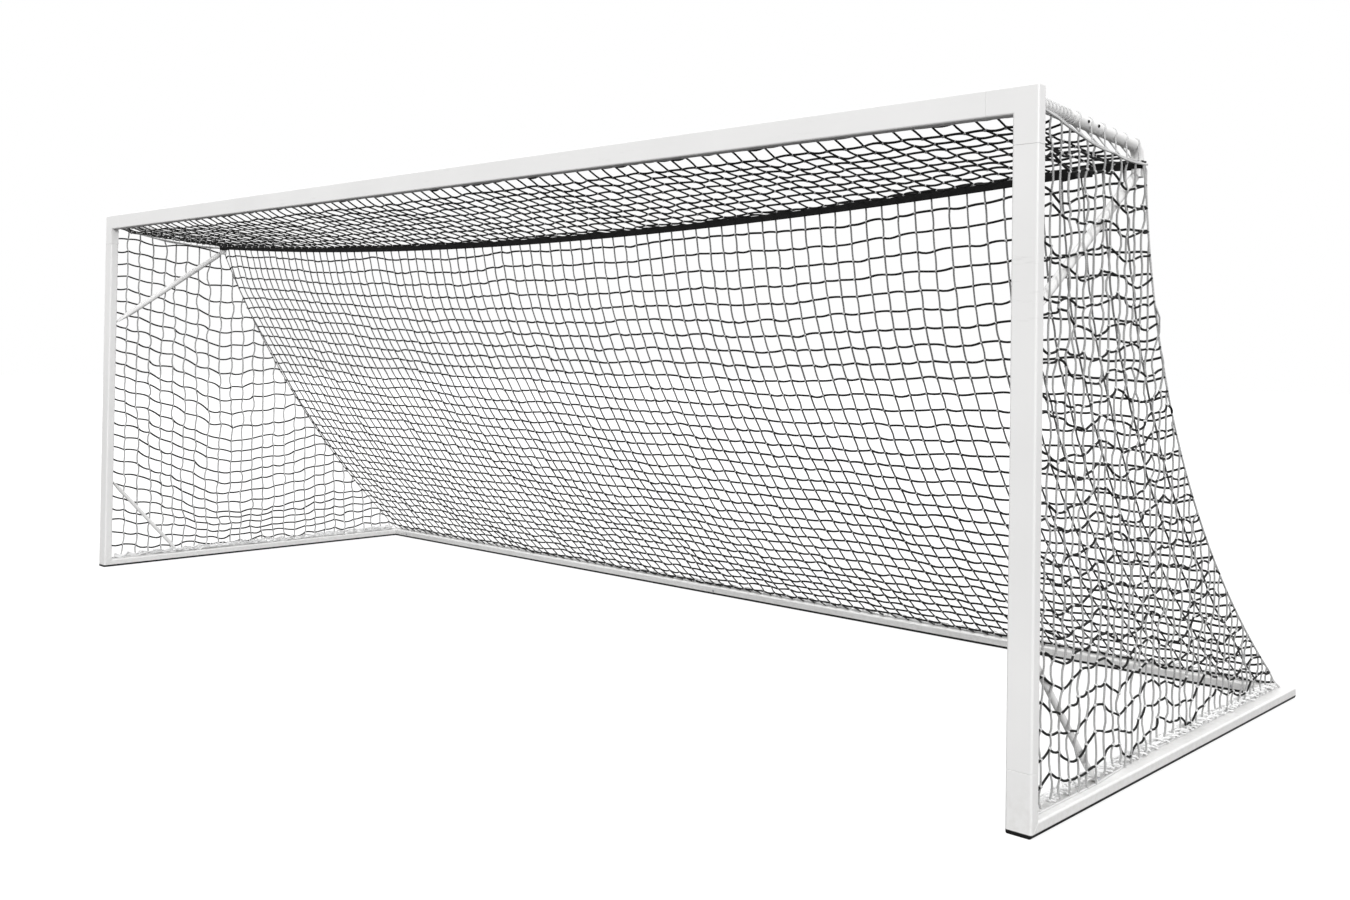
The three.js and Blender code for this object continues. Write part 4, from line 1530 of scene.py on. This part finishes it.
@dataclass
class Net:
    """The net: a roof and back in one, two sides, border ropes, lacing and clips.

    Cords, knots and ropes are given by their radius, and a dictionary holds a value for each side.

    Attributes:
        columns: Knots across the roof and back.
        roof_rows: Meshes from the crossbar to the strap.
        back_rows: Meshes from the strap to the rear bar.
        most_sink: How far below its start a knot may come to rest.
        lowest: Height below which no knot of a side comes.
        corner_x: Half the net's width at the border rope.
        foot_x: Half its width at the rear bar.
        head_x: Half its width at the crossbar.
        post_x: Distance of the posts' ropes from the middle of the goal.
        head_back: Depth of the ropes behind the crossbar and the posts.
        head_z: Height of the rope behind the crossbar.
        belly: How far that rope sags between two clips.
        fold_back: Depth at which the net lies over the strap.
        fold_lift: How high it lies above the strap's upper edge.
        fold_x: Where it leaves the strap for the border's end.
        foot_back: Depth of its foot.
        foot_z: Height of its foot.
        near_sag: Depth and height that pull the back's curve down on the right.
        far_sag: The same on the left.
        cord_span: Length of cord between two knots of a row of the roof and back.
        side_span: Least length of cord between two knots of a side's row.
        side_rows: Rows of a side, of which its border cuts the upper ones short.
        edge_margin: How near to the border a side's inner knots come.
        calm_reach: How far from the post and the base the slack of a side takes to build up.
        pitches: Distance between the columns of each side.
        row_pitch: Distance between their rows.
        droop: How far the left side has slipped down.
        rope_z: Height of the ropes on the ground frame.
        lace_lift: Distance of the lacing's middle from the tube that it is wound on.
        border: Depth and height of the border rope between roof and side.
    """

    finishes: Finishes
    strap: Strap
    supports: Supports
    columns: int = 85
    roof_rows: int = 10
    back_rows: int = 34
    cross_cord: float = 0.0055
    roof_row_cord: float = 0.0048
    side_row_cord: dict[int, float] = field(default_factory=lambda: {1: 0.0047, -1: 0.0060})
    roof_cord: float = 0.0040
    fall_cord: float = 0.0042
    side_cord: dict[int, float] = field(default_factory=lambda: {1: 0.0041, -1: 0.0050})
    knot: float = 0.0068
    rope: float = 0.0044
    lace: float = 0.0032
    spare_cord: float = 0.0036
    most_sink: float = 0.02
    lowest: float = 0.056
    corner_x: float = 3.74
    foot_x: float = 3.705
    head_x: float = 3.70
    post_x: float = 3.728
    head_back: float = 0.0605
    head_z: float = 2.452
    belly: float = 0.005
    clip_pitch: float = 0.44
    fold_back: float = 0.8765
    fold_lift: float = 0.0035
    fold_x: float = 3.6
    foot_back: float = 2.484
    foot_z: float = 0.0545
    rope_z: float = 0.0546
    cord_span: float = 0.0935
    side_span: float = 0.099
    side_rows: int = 28
    edge_margin: float = 0.035
    calm_reach: float = 0.09
    lace_lift: float = 0.0028
    near_sag: tuple[float, float] = (1.00, 1.03)
    far_sag: tuple[float, float] = (1.45, 1.05)
    pitches: dict[int, float] = field(default_factory=lambda: {1: 0.066, -1: 0.09})
    droop: float = 0.33
    row_pitch: float = 0.089
    border: tuple[tuple[float, float], ...] = (
        (0.064, 2.462), (0.165, 2.452), (0.26, 2.427), (0.344, 2.406), (0.5, 2.387), (0.65, 2.371),
        (0.885, 2.366))

    def build(self) -> None:
        """Makes the whole net."""
        sheet = self.hung_sheet()
        self.sheet_cords(sheet)
        for side, label in SIDES:
            seam = sheet[self.roof_rows:, -1 if side > 0 else 0]
            self.side_panel(side, label, seam)
        self.ropes(sheet)
        self.lacing()
        self.clips()
        self.gathered_foot()

    def border_z(self, back: np.ndarray | float) -> np.ndarray:
        """Height of the border rope between roof and side.

        Args:
            back: Distance behind the front face.

        Returns:
            Height above the ground.
        """
        depths, heights = zip(*self.border)
        return np.interp(back, depths, heights)

    def back_line(self, x: float, count: int) -> np.ndarray:
        """The line that one upright of the back starts on, from the strap to the rear bar.

        Args:
            x: Distance from the middle at the strap.
            count: How many points to give.

        Returns:
            Depth behind the front face and height of each point.
        """
        share = (x + self.corner_x) / (2 * self.corner_x)
        sag = (1 - share) * np.array(self.far_sag) + share * np.array(self.near_sag)
        t = np.linspace(0, 1, 60)[:, None]
        top = np.array([self.fold_back, self.fold_z(x)])
        foot = np.array([self.foot_back, self.foot_z])
        return along_curve((1 - t) ** 2 * top + 2 * t * (1 - t) * sag + t * t * foot, count)

    def fold_z(self, x: float) -> float:
        """Height at which the net lies over the strap, or is tied to the border's end.

        Args:
            x: Distance from the middle.

        Returns:
            Height above the ground.
        """
        over = self.strap.height(x) + self.strap.width / 2 + self.fold_lift
        beyond = max(abs(x) - self.fold_x, 0.0) / (self.corner_x - self.fold_x)
        end_z = self.border[-1][1]
        return over + (end_z - over) * min(beyond, 1.0)

    def hung_sheet(self) -> np.ndarray:
        """Hangs the roof and the back over the strap.

        Returns:
            The knots, row by row from the crossbar to the rear bar.
        """
        rows = self.roof_rows + self.back_rows + 1
        start = np.zeros((rows, self.columns, 3))
        shares = np.linspace(-1, 1, self.columns)
        for j, u in enumerate(shares):
            x = u * self.corner_x
            front = min(abs(x), self.head_x) * np.sign(x)
            belly = self.belly * math.sin(math.pi * front / self.clip_pitch) ** 2
            for i in range(self.roof_rows + 1):
                share = i / self.roof_rows
                back = self.head_back + share * (self.fold_back - self.head_back)
                z = (1 - share) * (self.head_z - belly) + share * self.fold_z(x)
                wide = front if i == 0 else x
                if j == 0 and 0 < i < self.roof_rows:
                    wide = -POST_X
                    z = self.supports.height(back) + self.supports.tube_radius + self.roof_row_cord
                elif j in (0, self.columns - 1) and i:
                    z = float(self.border_z(back))
                start[i, j] = (wide, FRONT + back, z)
            line = self.back_line(x, self.back_rows + 1)
            depth = np.linspace(0, 1, self.back_rows + 1)
            start[self.roof_rows:, j, 0] = u * (self.corner_x + (self.foot_x - self.corner_x) * depth)
            start[self.roof_rows:, j, 1] = FRONT + line[:, 0]
            start[self.roof_rows:, j, 2] = line[:, 1]
        size = (rows, self.columns)
        wander = drift(*size, (8, 22), 11) * 0.018 + drift(*size, (19, 60), 12) * 0.008
        lift = drift(*size, (9, 16), 13) * 0.016 + drift(*size, (20, 70), 14) * 0.007
        loose = np.ones((rows, self.columns))
        loose[[0, self.roof_rows, -1]] = 0
        loose[:, [0, -1]] = 0
        loose[1] = loose[-2] = 0.5
        tied = loose == 0
        start[..., 0] += wander * loose
        lift[:self.roof_rows] *= 0.4
        start[..., 2] += lift * loose
        slide = drift(self.roof_rows - 1, self.columns, (4, 40), 15) * 0.014
        start[1:self.roof_rows, :, 1] += slide * loose[1:self.roof_rows]
        return self.settle_grid(start, tied)

    def settle_grid(self, start: np.ndarray, tied: np.ndarray) -> np.ndarray:
        """Hangs a grid of knots by its tied ones.

        Args:
            start: Rows by columns of knots.
            tied: Which of them are tied.

        Returns:
            The knots at rest.
        """
        rows, columns = tied.shape
        index = np.arange(rows * columns).reshape(rows, columns)
        down = np.stack([index[:-1], index[1:]], -1).reshape(-1, 2)
        across = np.stack([index[:, :-1], index[:, 1:]], -1).reshape(-1, 2)
        points = start.reshape(-1, 3)
        fall = np.linalg.norm(points[down[:, 0]] - points[down[:, 1]], axis=1)
        spare = np.random.default_rng(21).uniform(1.0, 1.012, len(down))
        rest = np.r_[fall * spare, np.full(len(across), self.cord_span)]
        steps = 60
        floor = points[:, 2] - self.most_sink
        links = np.vstack([down, across])
        return hang(points, links, rest, tied.ravel(), steps, floor).reshape(start.shape)

    def leans(self, count: int, sideways: float, down: float, seed: int) -> np.ndarray:
        """The ways that a run of cords bows.

        Args:
            count: How many cords.
            sideways: How far they lean at random.
            down: How far they lean down.
            seed: Where the random values start.

        Returns:
            One vector for each cord.
        """
        lean = np.random.default_rng(seed).uniform(-sideways, sideways, (count, 3))
        lean[:, 2] -= down
        return lean

    def row_cords(self, bundle: CordBundle, rows: Iterable[np.ndarray], slack: float, seed: int) -> None:
        """Adds the cords that run across.

        Args:
            bundle: Where they go.
            rows: The knots of each row.
            slack: How much longer the cord may be than the gap between two knots, as a share.
            seed: Where the random values start.
        """
        for number, row in enumerate(rows):
            if len(row) < 2:
                continue
            chord = np.linalg.norm(np.diff(row, axis=0), axis=1)
            spare = np.random.default_rng(seed + number).uniform(0.35, 1.0, len(chord))
            lean = self.leans(len(chord), 0.8, 0.25, seed + 500 + number)
            bundle.add(bowed(row, chord * (1 + slack * spare), lean, 3))

    def fall_cords(self, bundle: CordBundle, columns: Iterable[np.ndarray], slack: float,
                   seed: int) -> None:
        """Adds the cords that hang down.

        Args:
            bundle: Where they go.
            columns: The knots of each column.
            slack: How much longer the cord is than the gap between two knots, as a share.
            seed: Where the random values start.
        """
        for number, column in enumerate(columns):
            if len(column) < 2:
                continue
            chord = np.linalg.norm(np.diff(column, axis=0), axis=1)
            lean = self.leans(len(chord), 0.9, 0.0, seed + number)
            bundle.add(bowed(column, chord * (1 + slack), lean, 2))

    def knots(self, name: str, places: np.ndarray, seed: int, nodes: Sequence[str] = ()) -> None:
        """Small overhand knots, thick in the middle.

        Args:
            name: The piece's name.
            places: Where they are.
            seed: Where the random values start.
            nodes: The CAD nodes that they stand for.
        """
        bundle = CordBundle(name, self.knot, self.finishes.knot_twine)
        turns = np.random.default_rng(seed).normal(size=(len(places), 3))
        turns[:, 2] *= 0.6
        turns /= np.linalg.norm(turns, axis=1)[:, None]
        swell = np.array([0.45, 1.0, 1.0, 0.45])
        offsets = np.array([-1.15, -0.4, 0.4, 1.15]) * self.knot
        for place, turn in zip(places, turns):
            bundle.add(place + offsets[:, None] * turn, swell)
        bundle.build(Slot.TWINE, nodes)

    def sheet_cords(self, sheet: np.ndarray) -> None:
        """Makes the cords and knots of the roof and the back.

        Args:
            sheet: The knots, row by row.
        """
        fold = self.roof_rows
        parts = (("roof", sheet[:fold + 1], 100, "net_roof"), ("back", sheet[fold:], 200, "net_back"))
        for label, part, seed, node in parts:
            roof = label == "roof"
            across = CordBundle(f"{label}_net_across", self.roof_row_cord if roof else self.cross_cord,
                                self.finishes.cross_twine_painted_shade)
            self.row_cords(across, part if roof else part[1:-1], 0.028, seed)
            across.build(Slot.TWINE, [node])
            along = CordBundle(f"{label}_net_along", self.roof_cord if roof else self.fall_cord,
                               self.finishes.cross_twine_painted_shade if roof else self.finishes.fall_twine_painted_shade)
            self.fall_cords(along, part.transpose(1, 0, 2)[1:-1], 0.004, seed + 300)
            along.build(Slot.TWINE)
            self.knots(f"{label}_net_knots", part[1:-1, 1:-1].reshape(-1, 3), seed + 600)

    def side_panel(self, side: int, label: str, seam: np.ndarray) -> None:
        """Makes one side of the net, from the post to the seam and from the border to the base.

        Args:
            side: 1 on the right, -1 on the left.
            label: The side's name.
            seam: The edge knots of the back, from the strap down.
        """
        seam_back, seam_z = seam[:, 1] - FRONT, seam[:, 2]
        depth = np.arange(self.head_back + 0.003, self.foot_back, self.pitches[side])
        height = self.foot_z + 0.006 + np.arange(self.side_rows) * self.row_pitch
        top = np.where(depth < seam_back[0], self.border_z(depth), np.interp(depth, seam_back, seam_z))
        level = height[:, None] + self.fold(side, depth[None], height[:, None])
        end_z = height + self.fold(side, np.interp(height, seam_z[::-1], seam_back[::-1]), height)
        ends = np.interp(end_z, seam_z[::-1], seam_back[::-1])
        margin = self.edge_margin
        inside = (level < top[None] - margin) & (depth[None] < ends[:, None] - margin)
        shape = inside.shape
        back, z = self.slack_grid(side, depth, height, level)
        points, names = [], {}
        for i, j in zip(*np.nonzero(inside)):
            names[i, j] = len(points)
            points.append((side * self.panel_x(back[i, j], z[i, j]), FRONT + back[i, j], z[i, j]))
        fixed = [j == 0 or i == 0 for i, j in names]
        rows = [[names[i, j] for j in range(shape[1]) if (i, j) in names] for i in range(shape[0])]
        columns = [[names[i, j] for i in range(shape[0]) if (i, j) in names] for j in range(shape[1])]
        for i, row in enumerate(rows):
            if row:
                row.append(len(points))
                points.append((np.interp(end_z[i], seam_z[::-1], seam[::-1, 0]), FRONT + ends[i], end_z[i]))
                fixed.append(True)
        for j, column in enumerate(columns):
            if column:
                column.append(len(points))
                x = self.corner_x * side
                if depth[j] >= seam_back[0]:
                    x = np.interp(top[j], seam_z[::-1], seam[::-1, 0])
                points.append((x, FRONT + depth[j], top[j]))
                fixed.append(True)
        knots = self.hang_side(side, np.array(points), np.array(fixed), rows + columns)
        across = CordBundle(f"side_net_{label}_across", self.side_row_cord[side], self.finishes.cross_twine_painted_shade)
        self.row_cords(across, [knots[row] for row in rows[1:]], 0.07, 900 + 50 * side)
        across.build(Slot.TWINE, [f"net_side_{label}"])
        along = CordBundle(f"side_net_{label}_along", self.side_cord[side], self.finishes.side_twine_painted_shade)
        self.fall_cords(along, [knots[column] for column in columns], 0.04, 700 + 50 * side)
        along.build(Slot.TWINE)
        inner = [name for (i, j), name in names.items() if i and j]
        self.knots(f"side_net_{label}_knots", knots[inner], 40 + side)

    def slack_grid(self, side: int, depth: np.ndarray, height: np.ndarray,
                   level: np.ndarray) -> tuple[np.ndarray, np.ndarray]:
        """Where the knots of a side start: calm at the post and the base, lifted and shifted beyond.

        Args:
            side: 1 on the right, -1 on the left.
            depth: Distance of each column behind the front face.
            height: Height of each row.
            level: Height of each knot before its cords' slack moves it.

        Returns:
            Distance behind the front face and height of each knot.
        """
        wave = self.arches(height, depth, side) + drift(*level.shape, (18, 24), 33 + side) * 0.011
        shift = drift(*level.shape, (9, 9), 35 + side) * 0.022
        shift += drift(*level.shape, (22, 24), 37 + side) * 0.010
        low = np.clip(height[:, None] / self.calm_reach, 0.0, 1.0)
        calm = np.clip((depth[None] - depth[0]) / self.calm_reach, 0.0, 1.0) * low
        z = level + wave * low * np.clip(0.35 + calm, 0.0, 1.0)
        return depth[None] + shift * calm, np.maximum(z, self.foot_z)

    def hang_side(self, side: int, start: np.ndarray, fixed: np.ndarray,
                  runs: Sequence[Sequence[int]]) -> np.ndarray:
        """Hangs the knots of a side by its tied ones.

        Args:
            side: 1 on the right, -1 on the left.
            start: Where every knot starts.
            fixed: Which of them are tied.
            runs: Numbers of the knots along each cord.

        Returns:
            The knots at rest.
        """
        links = np.array([pair for run in runs for pair in zip(run, run[1:])])
        gap = np.linalg.norm(start[links[:, 0]] - start[links[:, 1]], axis=1)
        flat = np.abs(start[links[:, 0], 2] - start[links[:, 1], 2]) < gap * 0.6
        rest = np.where(flat, np.maximum(gap * 0.99, self.side_span), gap * 1.01)
        steps = 40
        floor = np.maximum(start[:, 2] - self.most_sink, self.lowest)
        knots = hang(start, links, rest, fixed, steps, floor)
        knots[:, 0] = side * np.maximum(side * knots[:, 0], self.head_x)
        return knots

    def fold(self, side: int, depth: np.ndarray, height: np.ndarray) -> np.ndarray:
        """How far the left side of the net has slipped down behind the post, in one broad fold.

        Args:
            side: 1 on the right, -1 on the left.
            depth: Distance behind the front face.
            height: Height above the ground.

        Returns:
            The rise of the net, below zero where it has slipped down.
        """
        if side > 0:
            return 0.0 * depth * height
        near, far = (np.clip((depth - start) / 0.95, 0.0, 1.0) for start in (0.06, 1.0))
        ramp = near ** 2 * (3 - 2 * near) - 0.3 * far ** 2 * (3 - 2 * far)
        strength = np.interp(height, (0.06, 0.6, 1.2, 2.0, 2.36), (0.0, 0.8, 1.0, 0.6, 0.15))
        return -self.droop * ramp * strength

    def arches(self, height: np.ndarray, depth: np.ndarray, side: int) -> np.ndarray:
        """How the spare length of a side's rows lifts and drops them, in arches that stand over each other.

        Args:
            height: Height of each row.
            depth: Distance of each column behind the front face.
            side: 1 on the right, -1 on the left.

        Returns:
            The rise of each knot, rows by columns.
        """
        reach = np.interp(height, (0.2, 1.0, 2.3), (0.034, 0.024, 0.022))[:, None]
        phase = drift(len(height), len(depth), (7, 4), 31 + side) * 2.6
        wide = np.sin(2 * math.pi * depth[None] / 0.52 + phase)
        tight = np.sin(2 * math.pi * depth[None] / 0.21 - 2 * phase)
        if side < 0:
            return 0.008 * (wide + tight)
        turns = np.where(np.arange(len(height)) % 2, 1.0, -1.0) * np.interp(height, (0.6, 1.2), (0.0, 0.03))
        crossed = turns[:, None] * np.exp(-((depth[None] - 0.17) / 0.13) ** 2)
        return reach * (wide + 0.45 * tight) + crossed

    def panel_x(self, back: float, z: float) -> float:
        """How far out a side of the net hangs.

        Args:
            back: Distance behind the front face.
            z: Height above the ground.

        Returns:
            Distance from the middle of the goal.
        """
        low = 1 - min(z / 2.3, 1.0)
        clear = min(max((back - 0.62) / 0.5, 0.0), 1.0)
        return self.corner_x - 0.003 - (0.008 + 0.03 * clear) * low

    def ropes(self, sheet: np.ndarray) -> None:
        """Border ropes: behind the crossbar, down the posts, over the tubes, down the seams.

        Args:
            sheet: The knots of the roof and the back.
        """
        ropes = CordBundle("border_ropes", self.rope, self.finishes.rope, 2)
        x = np.linspace(-self.head_x, self.head_x, 290)
        belly = self.belly * np.sin(math.pi * x / self.clip_pitch) ** 2
        ropes.add(np.c_[x, np.full_like(x, FRONT + self.head_back), self.head_z - belly])
        for side in (1, -1):
            column = sheet[:, -1 if side > 0 else 0]
            depths, heights = np.array(self.border).T
            edge = np.c_[np.full(len(depths), side * self.corner_x), FRONT + depths, heights]
            for offset, route in ((0.0, np.vstack([edge, column[self.roof_rows + 1:]])), (0.0078, edge)):
                down = along_curve(route, 80)
                down[:, 2] -= offset * np.abs(np.sin(np.linspace(0, 9.4, len(down))))
                down[:, 0] += side * offset * 0.4
                ropes.add(down)
            z = np.linspace(0.07, 2.46, 60)
            sway = 0.002 * np.sin(z * 14)
            ropes.add(np.c_[side * (self.post_x + sway), np.full_like(z, FRONT + self.head_back), z])
            y = np.linspace(0.08, self.foot_back, 60)
            inward = np.clip((y - 0.55) / 0.4, 0, 1) * 0.028
            ropes.add(np.c_[side * (3.727 - inward), FRONT + y, np.full_like(y, self.rope_z)])
        x = np.linspace(-3.69, 3.69, 200)
        y = FRONT + self.foot_back + 0.002 * np.sin(x * 7)
        ropes.add(np.c_[x, y, np.full_like(x, self.rope_z)])
        ropes.build(Slot.TWINE)

    def lacing(self) -> None:
        """Twine wound round the sockets and top tubes, and tied to the border rope."""
        twine = CordBundle("support_lacing", self.lace, self.finishes.rope)
        turns, steps, first, last = 9, 20, 0.07, 0.31
        r = self.supports.socket_radius + self.lace_lift
        for side in (1, -1):
            hub = side * POST_X
            spiral = []
            for step in range(turns * steps + 1):
                back = first + (last - first) * step / (turns * steps)
                angle = 2 * math.pi * step / steps
                z = self.supports.height(back) + r * math.sin(angle)
                spiral.append((hub + r * math.cos(angle), FRONT + back, z))
            twine.add(spiral)
            for number, back in enumerate(np.arange(0.36, 0.84, 0.0955)):
                twine.add(self.strand(side, hub, float(back), number))
        twine.build(Slot.TWINE)

    def strand(self, side: int, hub: float, back: float, number: int) -> list[tuple[float, float, float]]:
        """One tie: up from the border rope, over the tube and back down to it.

        Args:
            side: 1 on the right, -1 on the left.
            hub: X of the tube's axis.
            back: Where it crosses the tube, behind the front face.
            number: Its place in the row, which varies its slant.

        Returns:
            The tie's points.
        """
        r = self.supports.tube_radius + self.lace_lift
        first, round_it, steps = -28, 236, 14
        axis_z = self.supports.height(back)
        rope_z = float(self.border_z(back))
        slant = 0.02 + 0.006 * math.sin(number * 2.1)
        out = [(side * self.corner_x, FRONT + back - slant, rope_z)]
        for step in range(steps + 1):
            share = step / steps
            angle = math.radians(first + round_it * share)
            out.append((hub + side * r * math.cos(angle), FRONT + back - slant * (1 - 2 * share),
                        axis_z + r * math.sin(angle)))
        out.append((side * (self.corner_x - 0.004), FRONT + back + slant * 1.2, rope_z + 0.002))
        return out

    def clips(self) -> None:
        """Hooked plastic clips that hold the ropes to the bars."""
        crossbar = bmesh.new()
        face = FRONT + self.supports.thick
        for number in range(-8, 9):
            self.clip(crossbar, Vector((number * self.clip_pitch, face, self.head_z)), Vector((1, 0, 0)))
        finish_mesh("crossbar_clips", crossbar, self.finishes.clip, Slot.TWINE)
        for side, label in SIDES:
            post = bmesh.new()
            for z in np.arange(0.3, 2.4, 0.415):
                self.clip(post, Vector((side * self.post_x, face, float(z))), Vector((0, 0, 1)))
            finish_mesh(f"post_clips_{label}", post, self.finishes.clip, Slot.TWINE)

    def clip(self, bm: BMesh, place: Vector, rope: Vector) -> None:
        """One clip: a foot on the bar and a hook round the rope.

        Args:
            bm: The shape that it is added to.
            place: The rope's place on the bar's back face.
            rope: The direction of the rope.
        """
        wire, hook, hook_turn = 0.0017, 0.0058, math.radians(-250)
        out = Vector((0, 1, 0))
        across = rope.cross(out)
        half = rope * 0.009 + across * 0.006
        low = place - half + out * self.supports.gap
        high = place + half + out * 0.0036
        cube(bm, Vector(map(min, low, high)), Vector(map(max, low, high)))
        hub = place + out * (self.head_back - self.supports.thick)
        profile = bmesh.ops.create_circle(bm, cap_ends=False, radius=wire, segments=6)["verts"]
        facing = Matrix((across, rope, across.cross(rope))).transposed().to_4x4()
        bmesh.ops.transform(bm, matrix=Matrix.Translation(hub - across * hook) @ facing, verts=profile)
        edges = [e for e in bm.edges if e.verts[0] in profile and e.verts[1] in profile]
        bmesh.ops.spin(bm, geom=profile + edges, cent=hub, axis=rope, angle=hook_turn, steps=10)

    def gathered_foot(self) -> None:
        """Spare meshes gathered on the base sides and the rear bar."""
        heap = CordBundle("gathered_meshes", self.spare_cord, self.finishes.spare_mesh)
        for side in (1, -1):
            for along, across, up in self.tangle(0.085, 2.43, 0.024, 7, 77 + side):
                heap.add(np.c_[side * (3.693 + across), FRONT + along, up])
        for along, across, up in self.tangle(-3.64, 3.64, 0.012, 3, 99):
            heap.add(np.c_[along, FRONT + self.foot_back + 0.002 + across, up])
        heap.build(Slot.TWINE)

    def tangle(self, start: float, end: float, half: float, layers: int,
               seed: int) -> Iterator[tuple[np.ndarray, np.ndarray, np.ndarray]]:
        """Cords that lie in loose waves on top of a bar.

        Args:
            start: Where they start along the bar.
            end: Where they end.
            half: How far they reach to either side.
            layers: How many lie on each other.
            seed: Where the random values start.

        Yields:
            Place along the bar, place across it and height of each cord's points.
        """
        rng = np.random.default_rng(seed)
        for layer in range(layers):
            along = np.arange(start, end, 0.012)
            turn = np.cumsum(rng.uniform(0.25, 1.35, len(along)))
            roll = np.cumsum(rng.uniform(0.2, 1.1, len(along)))
            across = half * (0.75 * np.sin(turn) + 0.35 * np.sin(roll))
            up = 0.0552 + 0.003 * layer + 0.008 * (1 + np.cos(roll))
            yield along + 0.006 * np.cos(turn), np.clip(across, -half, half), up


# ---------------------------------------------------------------- stage


@dataclass
class Studio:
    """Pale floor, even soft light and the camera.

    Attributes:
        camera_turn: Turn about X, Y and Z, in degrees.
        lens: Focal length in millimetres.
        shift: How far the picture is shifted, as shares of its width.
    """

    camera_place: tuple[float, float, float] = (5.914, -5.195, 1.616)
    camera_turn: tuple[float, float, float] = (90.815, -0.82, 42.49)
    lens: float = 34.55
    shift: tuple[float, float] = (-0.0329, -0.0864)
    floor_size: float = 60.0

    def build(self) -> None:
        """Sets up floor, lights and camera."""
        self.floor()
        self.sky()
        self.lamp("key_light", 0.7, (56, 0, -25), 36)
        self.lamp("side_light", 1.45, (74, 0, 60), 18)
        self.camera()

    def floor(self) -> None:
        """A plain pale floor, bright to the eye but throwing little light up."""
        bm = bmesh.new()
        bmesh.ops.create_grid(bm, x_segments=8, y_segments=8, size=self.floor_size)
        mesh = bpy.data.meshes.new("studio_floor")
        bm.to_mesh(mesh)
        bm.free()
        floor = bpy.data.objects.new("studio_floor", mesh)
        bpy.context.collection.objects.link(floor)
        material, graph, shader, _ = new_material("studio_floor")
        shader.inputs["Base Color"].default_value = grey(0.3)
        shader.inputs["Roughness"].default_value = 0.9
        glow = graph.node("Emission", {"Color": grey(1.0), "Strength": 0.72})
        dark = graph.node("BsdfDiffuse", {"Color": grey(0.09)})
        seen = graph.node("AddShader", {0: shader.outputs[0], 1: glow.outputs[0]})
        path = graph.node("LightPath")
        both = graph.node("MixShader", {0: path.outputs["Is Camera Ray"], 1: dark.outputs[0],
                                        2: seen.outputs[0]})
        output = next(n for n in graph.tree.nodes if n.bl_idname == "ShaderNodeOutputMaterial")
        graph.tree.links.new(both.outputs[0], output.inputs["Surface"])
        mesh.materials.append(material)
        floor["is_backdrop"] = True

    def sky(self) -> None:
        """Soft light from all round, stronger from above, white to the eye."""
        world = bpy.data.worlds.new("studio")
        bpy.context.scene.world = world
        world.use_nodes = True
        graph = Graph(world.node_tree)
        way = graph.out("TexCoord", socket="Generated")
        up = graph.out("SeparateXYZ", {0: way}, "Z")
        level = graph.span(up, -0.1, 0.9, 0.5, 1.5)
        light = graph.node("Background", {"Color": grey(1.0), "Strength": level})
        white = graph.node("Background", {"Color": grey(1.0), "Strength": 1.0})
        path = graph.node("LightPath")
        both = graph.node("MixShader", {0: path.outputs["Is Camera Ray"], 1: light.outputs[0],
                                        2: white.outputs[0]})
        graph.node("OutputWorld", {"Surface": both.outputs[0]})

    def lamp(self, name: str, strength: float, turn: tuple[float, float, float], spread: float) -> None:
        """A broad distant light.

        Args:
            name: Its name.
            strength: Its strength.
            turn: Its turn about X, Y and Z, in degrees.
            spread: How wide it looks, in degrees.
        """
        data = bpy.data.lights.new(name, "SUN")
        data.energy = strength
        data.angle = math.radians(spread)
        lamp = bpy.data.objects.new(name, data)
        lamp.rotation_euler = [math.radians(a) for a in turn]
        bpy.context.collection.objects.link(lamp)

    def camera(self) -> None:
        """The camera."""
        data = bpy.data.cameras.new("camera")
        data.lens = self.lens
        data.sensor_width = 36.0
        data.shift_x, data.shift_y = self.shift
        data.clip_end = 200.0
        camera = bpy.data.objects.new("camera", data)
        camera.location = self.camera_place
        camera.rotation_euler = [math.radians(a) for a in self.camera_turn]
        bpy.context.collection.objects.link(camera)
        bpy.context.scene.camera = camera
        bpy.context.scene.view_settings.view_transform = "Standard"


def dress_hidden_nodes(finishes: Finishes) -> None:
    """Gives the splines inside the joints, the only CAD nodes still shown, their drawn metal.

    Args:
        finishes: The finishes.
    """
    for name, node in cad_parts.items():
        if "spline" in name and "bolt" not in name:
            for slot in node.material_slots:
                slot.material = finishes.aluminium


def main() -> None:
    """Builds the whole look in order."""
    logging.basicConfig(level=logging.INFO, format="%(name)s: %(message)s")
    started = time.monotonic()
    finishes = Finishes()
    dress_hidden_nodes(finishes)
    Bars(finishes).build()
    Bolts(finishes).build()
    supports = Supports(finishes)
    supports.build()
    strap = Strap(finishes)
    strap.build()
    Net(finishes, strap, supports).build()
    Studio().build()
    plain = [[[float(v) for v in corner] for corner in box] for box in (CAD_BOX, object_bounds())]
    LOG.info("built in %.1f s", time.monotonic() - started)


if __name__ == "__main__":
    main()
